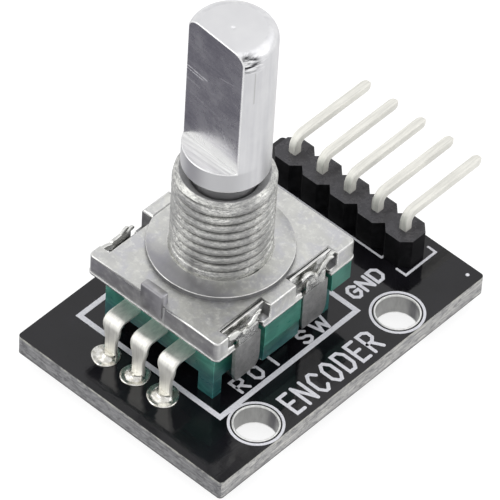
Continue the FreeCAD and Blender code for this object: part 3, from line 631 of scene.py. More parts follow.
def thread_paint():
    """Rolled zinc thread: fine torn grain drawn out round the turns, with painted shade darkening
    the roots.
    """
    paint = Paint("die_cast_zinc_thread", (0.6, 0.6, 0.58), 1.0, 0.3)
    grain = paint.noise(3.4, 5.0, (1.0, 1.0, 3.4), 0.75)
    cloud = paint.noise(0.55, 3.0, (1.0, 1.0, 0.5))
    scratch = paint.noise(1.2, 3.0, (1.0, 1.0, 9.0), 0.6)
    # Painted shade: below the crests the thread goes dark grey; the crests and the top chamfer
    # stay lit.
    crest = paint.span(paint.reach(), THREAD_CREST - THREAD_DEPTH,
                       THREAD_CREST - THREAD_DEPTH * 0.4)
    mouth = paint.span(paint.axis("Z"), 6.5, 6.62)
    lit = paint.number("MAXIMUM", crest, mouth)
    skin = paint.blend(grain, 0.36, 0.62, 0.27, (0.82, 0.82, 0.78))
    lined = paint.mix(paint.span(scratch, 0.55, 0.68, 0.0, 0.6), skin, (0.86, 0.86, 0.82))
    shaded = paint.mix(paint.span(cloud, 0.42, 0.62, 0.0, 0.55), lined, 0.24)
    paint.color(paint.mix(lit, 0.09, shaded))
    paint.roughness(paint.span(cloud, 0.3, 0.7, 0.24, 0.36))
    paint.bump(grain, 0.03, 0.7)
    paint.bump(scratch, 0.02, 0.5)
    return paint.material


def turned_paint():
    """Turned aluminium: fine rings round the axis, faint streaks along it, and at the round-over's
    corner painted dark reflection streaks beside a painted highlight.
    """
    paint = Paint("aluminium_turned", (0.8, 0.8, 0.815), 1.0, 0.33)
    rings = paint.noise(1.0, 3.0, (0.15, 0.15, 30.0))
    streaks = paint.noise(2.0, 3.0, (1.0, 1.0, 0.05), 0.5)
    specks = paint.noise(12.0, 2.0, (1.0, 1.0, 0.4))
    cloud = paint.noise(0.7, 4.0, (1.0, 1.0, 0.6), 0.6)
    tone = paint.weigh((streaks, 0.6), (cloud, 0.4))
    skin = paint.blend(tone, 0.36, 0.64, (0.72, 0.72, 0.735), (0.85, 0.85, 0.855))
    level = paint.axis("Z")
    below_ledge = paint.times(paint.span(level, 9.6, 9.4),
                               paint.span(paint.axis("Y"), -0.2, -1.9))
    foot = paint.mix(below_ledge, skin, (0.62, 0.62, 0.63))
    # Painted reflection near the round-over's corner: dark streaks, and beside them a white
    # painted highlight.
    scuff_and_sheen = paint.noise(1.1, 3.0, (0.8, 0.8, 4.5), 0.6, 0.5)
    corner = paint.near((2.7, -1.35, 19.5), 0.95, 0.5)
    painted_reflection_streaks = paint.times(corner, paint.span(scuff_and_sheen, 0.42, 0.56))
    shine = paint.times(paint.near((2.75, -0.9, 19.45), 1.1, 0.6),
                         paint.span(scuff_and_sheen, 0.44, 0.36))
    seam = paint.times(paint.scratch((2.856, -0.917, 18.5), (2.856, -0.917, 15.8),
                                                  0.06), 0.4)
    seam_and_painted_streaks = paint.mix(painted_reflection_streaks, paint.mix(seam, foot, (0.35, 0.34, 0.3)), (0.05, 0.05, 0.055))
    paint.color(paint.mix(shine, seam_and_painted_streaks, 1.0))
    paint.roughness(paint.mix_number(below_ledge,
                                     paint.span(streaks, 0.3, 0.7, 0.28, 0.37), 0.42))
    paint.bump(rings, 0.002, 0.4)
    paint.bump(streaks, 0.004, 0.4)
    paint.bump(specks, 0.0015, 0.4)
    return paint.material


def faced_paint():
    """Faced end of the shaft: very fine rings about the axis."""
    paint = Paint("aluminium_faced", (0.8, 0.8, 0.81), 1.0, 0.32)
    turns = paint.node("ShaderNodeTexNoise", {"noise_dimensions": "1D"}, W=paint.reach(),
                       Scale=14.0, Detail=2.0).outputs["Fac"]
    haze = paint.noise(0.5, 2.0)
    paint.color(paint.blend(haze, 0.35, 0.65, (0.79, 0.79, 0.8), (0.83, 0.83, 0.835)))
    paint.roughness(paint.span(turns, 0.3, 0.7, 0.28, 0.36))
    paint.bump(turns, 0.0015, 0.4)
    return paint.material


def milled_paint():
    """Milled aluminium flat: a dull mirror whose dark grey is painted reflection, with hazy
    patches, a few long scratches and a painted reflection of the ledge at its foot.
    """
    paint = Paint("aluminium_milled", (0.4, 0.4, 0.43), 1.0, 0.26)
    haze = paint.noise(0.55, 4.0, (1.0, 1.0, 0.8), 0.65)
    fine = paint.noise(5.0, 4.0, (1.0, 1.0, 1.0), 0.7)
    rows = paint.noise(2.0, 3.0, (0.35, 1.0, 2.4), 0.6, 0.4)
    dust = paint.noise(15.0, 2.0)
    tone = paint.weigh((haze, 0.5), (fine, 0.2), (rows, 0.3))
    # Painted reflection: the flat's grey is held well below the turned skin's.
    skin = paint.blend(tone, 0.4, 0.6, (0.36, 0.355, 0.385), (0.54, 0.535, 0.55))
    marks = 0.0
    for start, end, width, strength in (
            ((-2.73, -1.3, 15.76), (-0.75, -1.44, 15.66), 0.07, 1.0),
            ((-2.73, -1.3, 15.5), (-1.1, -1.41, 15.44), 0.06, 1.0),
            ((-2.7, -1.3, 14.65), (-1.4, -1.4, 14.55), 0.07, 0.45),
            ((0.4, -1.53, 16.8), (1.8, -1.64, 17.1), 0.06, 0.45),
            ((-2.2, -1.34, 13.6), (0.6, -1.55, 13.2), 0.09, 0.25),
            ((0.9, -1.57, 12.3), (1.5, -1.62, 11.2), 0.07, 0.25)):
        mark = paint.times(paint.scratch(start, end, width), strength)
        marks = paint.number("MAXIMUM", marks, mark)
    broken = paint.times(marks, paint.span(fine, 0.35, 0.55, 0.25, 0.75))
    # Painted reflection of the ledge: the flat turns lighter towards its foot.
    foot = paint.span(paint.axis("Z"), 10.7, 10.2)
    paint.color(paint.mix(broken, paint.mix(foot, skin, (0.57, 0.57, 0.575)), (0.95, 0.95, 0.97)))
    paint.roughness(paint.number("ADD", paint.span(haze, 0.35, 0.65, 0.23, 0.3),
                                 paint.times(broken, 0.3)))
    paint.bump(broken, 0.012, 0.8)
    paint.bump(fine, 0.0015, 0.5)
    paint.bump(dust, 0.001, 0.5)
    return paint.material


def ledge_paint():
    """End-milled ledge: straight cutter lines along the chord."""
    paint = Paint("aluminium_ledge", (0.88, 0.88, 0.88), 1.0, 0.3)
    lines = paint.noise(2.2, 4.0, (0.1, 2.6, 1.0), 0.65)
    paint.color(paint.blend(lines, 0.38, 0.62, 0.7, (1.0, 1.0, 0.99)))
    paint.roughness(paint.span(lines, 0.3, 0.7, 0.3, 0.44))
    paint.bump(lines, 0.02, 0.6)
    return paint.material


def plain_plastic(name, low, high, roughness):
    """Moulded plastic with mottled colour and a fine grain."""
    paint = Paint(name, low, roughness=roughness)
    cloud = paint.noise(0.9, 3.0)
    grain = paint.noise(12.0, 3.0)
    paint.color(paint.blend(cloud, 0.35, 0.65, low, high))
    paint.roughness(paint.span(grain, 0.3, 0.7, roughness * 0.8, roughness * 1.2))
    paint.bump(grain, 0.01, 0.5)
    return paint.material


board_box = box_mm("circuit_board")
BOARD_LOW = board_box[0].z
BOARD_TOP = board_box[1].z
mask = mask_paint()
# Painted shade and painted light: the ±Y edges take a darker copy of the laminate and the ±X edges
# a lighter one; run gives each its fibre direction.
laminate_shaded_ends = laminate_paint("laminate_edge_ends_painted_shade", (0.14, 0.14, 0.15), (0.27, 0.27, 0.27),
                               (0.25, 1.0, 1.2))
laminate_lit_sides = laminate_paint("laminate_edge_sides_painted_light", (0.27, 0.27, 0.28), (0.58, 0.57, 0.54),
                                (1.0, 0.14, 1.6))
ink = ink_paint()
tinned_copper = tin_paint("tinned_copper_ring", (0.82, 0.82, 0.78), 0.3, (1.0, 1.0, 0.3), 0.01)
tinned_pad = tin_paint("tinned_hole_pad", (0.94, 0.94, 0.92), 0.4, (1.0, 1.0, 0.3), 0.008, 0.6)
# Painted shade: the hole barrel's tin is a much darker copy of the pad's.
tinned_barrel_painted_shade = tin_paint("tinned_hole_barrel_painted_shade", (0.34, 0.34, 0.33), 0.34, (1.0, 1.0, 0.3), 0.01)
tinned_strip = tin_paint("tinned_brass_strip", (0.88, 0.87, 0.82), 0.42, (2.2, 0.6, 0.12), 0.012,
                         0.8)
tinned_pin = tin_paint("tinned_brass_pin", (0.85, 0.84, 0.78), 0.5, (2.4, 0.12, 0.12), 0.008,
                       0.45)
solder = solder_paint()
header_plastic = header_paint()
teal = green_paint("base_plastic_teal", 1.0)
# Painted highlight: a lighter copy of the teal for the base's edges.
teal_painted_highlight = green_paint("base_plastic_teal_painted_highlight", 1.9)
bracket_steel = steel_paint("nickel_steel_sheet", (0.54, 0.54, 0.53), 0.36, 0.34)
crimp_steel = steel_paint("nickel_steel_crimp", (0.78, 0.78, 0.75), 0.22)
spring_metal = steel_paint("spring_steel_blank", (0.6, 0.59, 0.56), 0.3)
zinc = zinc_paint("die_cast_zinc_matt", (0.58, 0.58, 0.57), (0.7, 0.7, 0.665))
# Painted shade: a darker copy of the zinc for the nib's front.
zinc_front_painted_shade = zinc_paint("die_cast_zinc_front", (0.37, 0.365, 0.372), (0.5, 0.495, 0.5))
# Painted shade: a darker zinc for recessed faces.
zinc_recess_painted_shade = zinc_paint("die_cast_zinc_recess", (0.2, 0.2, 0.2), (0.34, 0.34, 0.33))
# Painted shade: a near-black for the flange's step face.
zinc_step_painted_shade = plain_plastic("die_cast_zinc_step", (0.09, 0.09, 0.093), (0.16, 0.16, 0.165), 0.5)
# Painted highlight: a brighter zinc for edges, the lower lip and the notch ribs.
zinc_painted_highlight = steel_paint("die_cast_zinc_arris", (0.86, 0.86, 0.84), 0.22, 0.3)
zinc_dark = steel_paint("die_cast_zinc_bore", (0.55, 0.55, 0.55), 0.5)
zinc_thread = thread_paint()
turned = turned_paint()
faced = faced_paint()
# Painted highlight: a near-white aluminium for the shaft's rounded edges.
aluminium_painted_highlight = steel_paint("aluminium_arris_painted_highlight", (0.97, 0.97, 0.97), 0.3)
milled = milled_paint()
ledge = ledge_paint()
rotor_plastic = plain_plastic("rotor_plastic_ivory", (0.62, 0.58, 0.5), (0.74, 0.7, 0.62), 0.4)
ceramic = plain_plastic("chip_ceramic_dark", (0.012, 0.012, 0.013), (0.03, 0.03, 0.032), 0.4)


# ================================================================= circuit board
def circuit_board():
    """Laminate with mask on both faces; bare laminate shows round the edge."""
    body = cad_copy("circuit_board")
    for face in body.faces:
        if abs(face.normal.z) > 0.9:
            face.material_index = 0
        else:
            # ±Y edges get the darker painted-shade laminate, ±X edges the lighter painted-light
            # laminate.
            face.material_index = 1 if abs(face.normal.y) > 0.7 else 2
    piece = make_piece("board_laminate", body, [mask, laminate_shaded_ends, laminate_lit_sides],
                       stands_for=["circuit_board"])
    add_bevel(piece, 0.05, segments=2)


def hole_rings():
    """Plated barrel of each mounting hole, with a rounded tin ring on both faces."""
    bore = 1.5
    lip = 0.05
    swell = 0.03
    around = 96
    for name in ("front", "rear"):
        node = "hole_plating_" + name
        low, high = box_mm(node)
        centre = ((low.x + high.x) / 2.0, (low.y + high.y) / 2.0)
        rim = (high.x - low.x) / 2.0
        width = rim - bore
        upper = [(bore + width * (1 - math.cos(turn)) / 2.0,
                  BOARD_TOP + (lip + swell) * math.sin(turn) ** 0.7)
                 for turn in (math.pi * step / 8.0 for step in range(1, 8))]
        lower = [(radius, BOARD_LOW + BOARD_TOP - level) for radius, level in reversed(upper)]
        outside = [(rim, BOARD_TOP - 0.02), (bore + 0.08, BOARD_TOP - 0.04),
                   (bore + 0.08, BOARD_LOW + 0.04), (rim, BOARD_LOW + 0.02)]
        inside = [(bore, BOARD_LOW + lip), (bore, BOARD_TOP - lip)]
        loops = [circle(radius, level, around, centre)
                 for radius, level in inside + upper + outside + lower]
        shell = Shell()
        shell.loft(loops, closed=True)
        # The barrel wall takes the darker tin: painted shade inside the hole.
        shell.paints[:around] = [1] * around
        make_piece("hole_ring_" + name, shell, [tinned_pad, tinned_barrel_painted_shade],
                   stands_for=[node])


# ================================================================= legend
GLYPH_CUT = 0.24


def octagon(width, cut=GLYPH_CUT, height=1.0):
    """Closed outline with its corners cut off, as in a plotted letter O."""
    return [(cut, 0.0), (width - cut, 0.0), (width, cut), (width, height - cut),
            (width - cut, height), (cut, height), (0.0, height - cut), (0.0, cut)]


def glyphs():
    """Width, open strokes and closed strokes of each letter, in cap heights."""
    cut = GLYPH_CUT
    wide = 0.66
    letters = {}
    letters["E"] = (0.58, [[(0.58, 1), (0, 1), (0, 0), (0.58, 0)], [(0, 0.52), (0.5, 0.52)]], [])
    letters["N"] = (wide, [[(0, 0), (0, 1)], [(0, 1), (wide, 0)], [(wide, 0), (wide, 1)]], [])
    letters["C"] = (wide, [[(wide, 0.8), (wide - cut, 1), (cut, 1), (0, 1 - cut), (0, cut),
                            (cut, 0), (wide - cut, 0), (wide, 0.2)]], [])
    letters["O"] = (wide, [], [octagon(wide)])
    letters["D"] = (wide, [], [[(0, 0), (wide - cut, 0), (wide, cut), (wide, 1 - cut),
                                (wide - cut, 1), (0, 1)]])
    letters["R"] = (wide, [[(0, 0), (0, 1), (wide - cut, 1), (wide, 0.87), (wide, 0.6),
                            (wide - cut, 0.46), (0.02, 0.46)], [(0.3, 0.46), (wide, 0)]], [])
    letters["G"] = (wide, [[(wide, 0.8), (wide - cut, 1), (cut, 1), (0, 1 - cut), (0, cut),
                            (cut, 0), (wide - cut, 0), (wide, cut), (wide, 0.5),
                            (0.36, 0.5)]], [])
    letters["T"] = (0.7, [[(0, 1), (0.7, 1)], [(0.35, 1), (0.35, 0)]], [])
    letters["S"] = (wide, [[(wide, 0.82), (wide - 0.2, 1), (0.2, 1), (0, 0.84), (0, 0.68),
                            (0.2, 0.52), (wide - 0.2, 0.48), (wide, 0.32), (wide, 0.16),
                            (wide - 0.2, 0), (0.2, 0), (0, 0.18)]], [])
    letters["W"] = (1.04, [[(0, 1), (0.24, 0)], [(0.24, 0), (0.52, 0.78)],
                           [(0.52, 0.78), (0.8, 0)], [(0.8, 0), (1.04, 1)]], [])
    return letters


class Legend:
    """White screened lines and letters on the top of the board."""

    def __init__(self):
        self.shell = Shell()
        self.layer = 0

    def stroke(self, points, width, closed=False, rounded=True):
        """Flat raised line through points; later lines lie a hair higher where they cross."""
        self.layer += 1
        low = BOARD_TOP - 0.01
        high = BOARD_TOP + 0.022 + 0.0012 * (self.layer % 9)
        spots = [Vector(point) for point in points]
        half = width / 2.0
        rows = []
        count = len(spots)
        for index, spot in enumerate(spots):
            before = spots[index - 1] if closed or index else None
            after = spots[(index + 1) % count] if closed or index < count - 1 else None
            runs = [run.normalized() for run in ((spot - before) if before else None,
                                                 (after - spot) if after else None) if run]
            along = sum(runs, Vector((0.0, 0.0))).normalized()
            side = Vector((-along.y, along.x))
            reach = half / max(0.35, abs(side.dot(Vector((-runs[0].y, runs[0].x)))))
            rows.append((spot + side * reach, spot - side * reach, along))
        if rounded and not closed:
            rows = self.cap(spots[0], -rows[0][2], half) + rows + list(
                reversed(self.cap(spots[-1], rows[-1][2], half, True)))
        loops = [[(left.x, left.y, low), (right.x, right.y, low), (right.x, right.y, high),
                  (left.x, left.y, high)] for left, right, _ in rows]
        self.shell.loft(loops, closed=closed)

    def cap(self, spot, outward, half, last=False):
        """Rows that close a line with a half round end."""
        side = Vector((outward.y, -outward.x)) if not last else Vector((-outward.y, outward.x))
        rows = []
        for turn in (80.0, 60.0, 40.0, 20.0):
            angle = math.radians(turn)
            middle_spot = spot + outward * (half * math.sin(angle))
            reach = side * (half * math.cos(angle))
            rows.append((middle_spot + reach, middle_spot - reach, outward))
        return rows

    def ring(self, centre, radius, width):
        self.stroke([(centre[0] + radius * math.cos(TAU * step / 96),
                      centre[1] + radius * math.sin(TAU * step / 96)) for step in range(96)],
                    width, closed=True)

    def word(self, text, baseline, start, cap, width, gap, squeeze=1.0):
        """Letters that read along +Y with their tops towards -X; squeeze narrows them."""
        along = start
        for letter in text:
            wide, open_strokes, closed_strokes = GLYPHS[letter]
            for stroke, closed in ([(item, False) for item in open_strokes]
                                   + [(item, True) for item in closed_strokes]):
                self.stroke([(baseline - v * cap, along + u * cap * squeeze)
                             for u, v in stroke], width, closed=closed)
            along += wide * cap * squeeze + gap


GLYPHS = glyphs()


def legend():
    """Frame line round the base, rings round the holes, lines round the header, and words."""
    sheet = Legend()
    base_low, base_high = box_mm("encoder_base")
    frame_left = base_low.x - 0.62
    frame_right = base_high.x + 0.58
    frame_front = base_low.y - 0.83
    frame_back = base_high.y + 0.27
    sheet.stroke([(frame_left, frame_front), (frame_right, frame_front),
                  (frame_right, frame_back), (frame_left, frame_back)], 0.39, closed=True)
    for name in ("front", "rear"):
        spot = middle("hole_plating_" + name)
        sheet.ring((spot.x, spot.y), 1.85, 0.19)
    header_low, header_high = box_mm("header_housing")
    front = header_low.y - 0.12
    back = header_high.y + 0.34
    pitch = 2.54
    sheet.stroke([(header_high.x - pitch + 0.55, front + 0.3),
                  (header_high.x - pitch + 0.55, front),
                  (header_low.x - 0.3, front), (header_low.x - 0.3, back),
                  (header_high.x - pitch + 0.34, back)], 0.16)
    sheet.stroke([(header_high.x - 0.55, front - 0.05), (header_high.x + 0.28, front - 0.05),
                  (header_high.x + 0.28, back), (header_high.x - 0.4, back)], 0.18)
    hole = middle("hole_plating_front")
    sheet.word("ENCODER", hole.x + 1.34, hole.y + 2.62, 1.78, 0.25, 0.52, 0.69)
    sheet.word("ROT", hole.x - 2.52, hole.y + 1.38, 1.16, 0.22, 0.8)
    sheet.word("SW", hole.x - 2.4, hole.y + 7.62, 1.12, 0.22, 0.62)
    sheet.word("GND", hole.x - 2.76, hole.y + 13.05, 1.12, 0.24, 0.36)
    corner = board_box[1]
    sheet.ring((corner.x - 0.88, corner.y - 0.79), 0.07, 0.13)
    make_piece("legend_print", sheet.shell, [ink])


# ================================================================= pin header
def header():
    """Moulded row of five cells."""
    piece = make_piece("header_block", cad_copy("header_housing"), [header_plastic],
                       stands_for=["header_housing"])
    add_bevel(piece, 0.07)


def pin_section(half, tail, tip, total):
    """Square section that tapers to a blunt point at both ends."""
    def section(share, gone):
        left = min(gone / tail, 1.0)
        right = min((total - gone) / tip, 1.0)
        reach = half * (0.5 + 0.5 * math.sqrt(max(0.0, min(left, right))))
        return rounded_rectangle(reach, reach, min(0.09, reach * 0.45))
    return section


def header_pins():
    """Bent square pins, tapered at both ends."""
    for index in range(1, 6):
        node = "header_pin_%d" % index
        low, high = box_mm(node)
        column = (low.x + high.x) / 2.0
        half = (high.x - low.x) / 2.0
        row = low.y + half
        level = high.z - half
        lean = 0.05 * noise.noise(Vector((index * 1.7, 0.3, 0.0)))
        path = rounded_path([(row, low.z), (row, level), (high.y, level + lean)], [0.72])
        shell = Shell()
        section = pin_section(half, 0.3, 0.42, path_length(path))
        shell.loft(sweep(path, section, beside(column)))
        make_piece("pin_%d" % index, shell, [tinned_pin], stands_for=[node])


# ================================================================= solder
def solder_mound(shell, centre, base, rise, pad, neck, seed, spread=2.4, shift=(0.0, 0.0)):
    """Concave mound of solder round a lead, with a rounded, slightly uneven foot.

    rise is negative for a mound on the board's underside; shift moves the foot off the lead.
    """
    way = 1.0 if rise > 0 else -1.0
    count = 48
    rows = 16

    def foot(angle):
        swirl = noise.noise(Vector((math.cos(angle) * 0.8, math.sin(angle) * 0.8, seed)))
        return 1.0 + 0.12 * swirl

    def ring_at(radius, level, fall, share):
        loop = []
        for index in range(count):
            angle = TAU * index / count
            reach = radius * (1.0 + (foot(angle) - 1.0) * fall)
            lump = noise.noise(Vector((math.cos(angle) * 1.2, math.sin(angle) * 1.2,
                                       seed + share * 1.5)))
            loop.append((centre[0] + shift[0] * fall + (reach + 0.03 * lump) * math.cos(angle),
                         centre[1] + shift[1] * fall + (reach + 0.03 * lump) * math.sin(angle),
                         level + 0.03 * lump * (1.0 - share)))
        return loop

    brim = 0.12
    loops = [ring_at(pad - 0.03, base - way * 0.03, 1.0, 0.0),
             ring_at(pad, base + way * brim * 0.45, 1.0, 0.0),
             ring_at(pad - 0.05, base + way * brim * 0.9, 1.0, 0.0),
             ring_at(pad - 0.16, base + way * brim, 1.0, 0.0),
             ring_at(pad - 0.3, base + way * brim * 0.85, 1.0, 0.0)]
    for row in range(1, rows + 1):
        share = row / rows
        fall = (1.0 - share) ** spread
        loops.append(ring_at(neck + (pad - 0.3 - neck) * fall,
                             base + way * brim * 0.85 + (rise - way * brim * 0.85) * share,
                             fall, share))
    shell.loft(loops)


def strip_solder():
    """Mounds above and below the board at the encoder's and the switch's strips."""
    under = -0.75
    leans = {"a": (-0.24, -0.26), "c": (-0.13, -0.16), "b": (-0.08, -0.14)}
    for number, name in enumerate("acb"):
        node = "terminal_solder_" + name
        spot = middle(node)
        pad = 1.02 + 0.08 * (number == 2)
        shell = Shell()
        solder_mound(shell, (spot.x, spot.y), BOARD_TOP, 0.5, pad, 0.5, 3.1 + number, 2.6,
                     leans[name])
        solder_mound(shell, (spot.x, spot.y), BOARD_LOW, under, 1.15, 0.55, 7.7 + number)
        make_piece("solder_" + name, shell, [solder], stands_for=[node])
    shell = Shell()
    low, high = box_mm("switch_solder")
    row = (low.y + high.y) / 2.0
    for number, name in enumerate("de"):
        node_low, node_high = box_mm("switch_terminal_" + name)
        column = node_low.x + 0.75 if number == 0 else node_high.x - 0.75
        solder_mound(shell, (column, row), BOARD_TOP, 0.6, 1.02, 0.5, 11.3 + number, 2.6)
        solder_mound(shell, (column, row), BOARD_LOW, under, 1.12, 0.55, 13.9 + number)
    make_piece("solder_switch", shell, [solder], stands_for=["switch_solder"])


def pin_solder():
    """Five fillets under the board, one for each header pin."""
    shell = Shell()
    low, high = box_mm("header_solder")
    row = (low.y + high.y) / 2.0
    for index in range(1, 6):
        column = middle("header_pin_%d" % index).x
        solder_mound(shell, (column, row), BOARD_LOW, -0.75, 0.85, 0.46, 17.0 + index)
    make_piece("solder_header", shell, [solder], stands_for=["header_solder"])


# ================================================================= strip terminals
def strip_section(half_wide, half_tail, half_thick, narrow_from, narrow_to, sign):
    """Strip that narrows below its bend, with two pressed creases on its outer face."""
    def section(share, gone):
        blend = ease(ramp(gone, narrow_from, narrow_to - narrow_from))
        reach = half_wide + (half_tail - half_wide) * blend
        depth = 0.07 * ramp(gone, narrow_from, 0.5)
        points = []
        steps = 14
        for way, creased in ((1.0, True), (-1.0, False)):
            for step in range(steps + 1):
                across = way * (-1.0 + 2.0 * step / steps)
                crease = math.exp(-((abs(across) - 0.36) / 0.15) ** 2) if creased else 0.0
                edge = 1.0 - max(0.0, abs(across) - 0.86) / 0.14 * 0.45
                points.append((across * reach,
                               way * sign * (half_thick * edge - depth * crease)))
        return points
    return section


def strip_terminal(node, column, row, level, start):
    """One bent strip from inside the base, over its bend and down through the board."""
    low, _ = box_mm(node)
    side = -1.0 if row < 0 else 1.0
    half_thick = 0.15
    path = rounded_path([(start, level + half_thick), (row, level + half_thick),
                         (row, low.z)], [0.55])
    bend_at = abs(row - start)
    shell = Shell()
    section = strip_section(0.75, 0.52, half_thick, bend_at + 0.35, bend_at + 1.7, -side)
    shell.loft(sweep(path, section, beside(column)))
    return shell


def encoder_strips():
    """Terminals a, c and b; each carries a springy finger that wipes the code disc."""
    solder_row = middle("terminal_solder_c").y
    level = -3.95
    finger_level = -4.7
    joggle = -5.0
    for name in "acb":
        node = "terminal_" + name
        column = middle(node).x
        shell = strip_terminal(node, column, solder_row, level, joggle - 0.15)
        leg = [Vector(point) for point in ((joggle, level + 0.3), (joggle, finger_level + 0.15),
                                           (-4.3, finger_level + 0.15))]
        shell.loft(sweep(leg, plain_section(0.75, 0.15, 0.05), beside(column)))
        finger = [Vector(point) for point in ((-4.35, finger_level + 0.12),
                                              (-4.0, finger_level + 0.2),
                                              (-3.4, -3.95), (-3.1, -3.82), (-2.8, -3.86))]
        shell.loft(sweep(finger, plain_section(0.3, 0.07, 0.03), beside(column)))
        make_piece("strip_" + name, shell, [tinned_strip], stands_for=[node])


def switch_strips():
    """Outer strips of the push switch behind the base; their contacts stay as in CAD."""
    low, high = box_mm("switch_solder")
    row = (low.y + high.y) / 2.0
    for name, side in (("d", -1), ("e", 1)):
        node = "switch_terminal_" + name
        shell = strip_terminal(node, side * 2.5, row, -5.4, 3.4)
        inner = cad_copy(node)
        slice_grid(inner, (0, 3.6, 0), (0, 1, 0), True)
        close_holes(inner)
        inner.verts.index_update()
        shell.add([vert.co / MM for vert in inner.verts],
                  [[vert.index for vert in face.verts] for face in inner.faces])
        inner.free()
        make_piece("switch_strip_" + name, shell, [tinned_strip],
                   stands_for=[node])


# ================================================================= encoder body
def base():
    """Moulded base whose rounded edges take a lighter teal as a painted highlight."""
    piece = make_piece("base_moulding", cad_copy("encoder_base"), [teal, teal_painted_highlight],
                       stands_for=["encoder_base"])
    # The rounded edges take the lighter teal: a painted highlight.
    add_bevel(piece, 0.1, angle=50.0, paint=1)


def crimp_ribbon(shell, start, path, wide, thick, x_side, seed, lean):
    """Torn half of a tab, bent over and squashed; a lumpy ribbon in a plane across X."""
    spots = [Vector(point) for point in path]
    dense = []
    for index in range(len(spots) - 1):
        p0 = spots[max(index - 1, 0)]
        p1 = spots[index]
        p2 = spots[index + 1]
        p3 = spots[min(index + 2, len(spots) - 1)]
        for step in range(5):
            t = step / 5.0
            dense.append(0.5 * ((2 * p1) + (p2 - p0) * t + (2 * p0 - 5 * p1 + 4 * p2 - p3) * t * t
                                + (3 * p1 - p0 - 3 * p2 + p3) * t ** 3))
    dense.append(spots[-1])

    def section(share, gone):
        taper = 1.0 - 0.35 * share ** 2
        tip = math.sqrt(max(0.0, 1.0 - max(0.0, share - 0.86) ** 2 / 0.0200))
        outline = rounded_rectangle(thick / 2.0 * taper, wide / 2.0 * taper * max(tip, 0.25),
                                    thick * 0.35 * taper * max(tip, 0.25), 2)
        points = []
        for across, out in outline:
            spot = Vector((across * 2.0 + seed, out * 2.0, gone * 1.6))
            points.append((across + 0.13 * noise.noise(spot),
                           out + 0.12 * noise.noise(spot + Vector((5.2, 1.3, 0.7)))))
        return points

    def put(across, y, z):
        rise = max(0.0, z - start[2])
        return (x_side * (start[0] + across + lean * rise), start[1] + y, z)

    shell.loft(sweep(dense, section, put))


def bracket_sheet():
    """Folded sheet of the bracket up to its tabs, with rounded lower ends."""
    sheet_metal = cad_copy("mounting_bracket")
    shoulder = -2.155
    corner = 1.3
    under, _ = box_mm("mounting_bracket")
    slice_grid(sheet_metal, (0, 0, shoulder), (0, 0, 1), True)
    close_holes(sheet_metal)
    for step in range(1, 9):
        slice_grid(sheet_metal, (0, 0, under.z + corner * step / 8.0), (0, 0, 1), False)
    for vert in sheet_metal.verts:
        row = min(BRACKET_ROWS, key=lambda item: abs(vert.co.y / MM - item))
        out = vert.co.y / MM - row
        drop = 1.0 - (vert.co.z / MM - under.z) / corner
        if abs(vert.co.x) < 5.5 * MM or drop <= 0.0 or abs(out) < 1.0:
            continue
        bite = corner * (1.0 - math.sqrt(max(0.0, 1.0 - drop * drop)))
        share = 0.9 if out > 0 else 0.35
        vert.co.y -= math.copysign(bite * share * MM, out)
    piece = make_piece("bracket_sheet", sheet_metal, [bracket_steel],
                       stands_for=["mounting_bracket"])
    add_bevel(piece, 0.06)


def crimped_tab(name, number, row, side):
    """One tab of the bracket: its stem, and the four torn ribbons crimped over the casting."""
    _, high = box_mm("mounting_bracket")
    thick = 0.3
    split = -1.5
    slump = (0.42, 0.27) if number == 0 else (0.0, 0.0)
    squash = 0.55 if side < 0 else 1.0
    start = (high.x - thick / 2.0, row, -1.2)
    seed = 2.3 + 5.1 * number + 1.7 * side
    shell = Shell()
    stem = [Vector((0.0, level)) for level in (-2.35, -2.0, -1.6, -1.25, -0.95)]
    shell.loft(sweep(stem, plain_section(thick / 2.0, 0.95, 0.06),
                     lambda across, y, z: (side * (start[0] + across), row + y, z)))
    for path, wide, gauge, shift, lean in (
            (((-0.42, split), (-0.46, -1.0), (-0.72, -0.62), (-1.15, -0.5), (-1.5, -0.58)),
             0.7, 0.42, 0.0, 0.12),
            (((-0.1, split), (-0.18, -1.05), (-0.5, -0.85), (-0.95, -0.8), (-1.2, -0.95)),
             0.5, 0.3, 5.0, -0.3),
            (((0.3, split), (0.38, -0.9), (0.62, -0.4), (0.95, -0.02), (1.3, 0.1)),
             0.4, 0.3, 3.0, 0.25),
            (((0.72, split), (0.8, -0.95), (1.02, -0.5), (1.36, -0.14), (1.66, -0.02)),
             0.34, 0.34, 9.0, 0.05)):
        lowered = [(y - slump[0], split + (z - split) * squash - slump[1] * (index > 0))
                   for index, (y, z) in enumerate(path)]
        crimp_ribbon(shell, start, lowered, wide, gauge, side, seed + shift,
                     lean if side > 0 else 0.0)
    piece = make_piece("crimp_%s_%s" % (name, "left" if side < 0 else "right"), shell,
                       [crimp_steel])
    rounding = piece.modifiers.new("rounding", "SUBSURF")
    rounding.levels = 1
    rounding.render_levels = 1


def bracket():
    """Folded bracket with its four crimped tabs."""
    bracket_sheet()
    for number, (name, row) in enumerate(zip(("front", "rear"), BRACKET_ROWS)):
        for side in (-1, 1):
            crimped_tab(name, number, row, side)


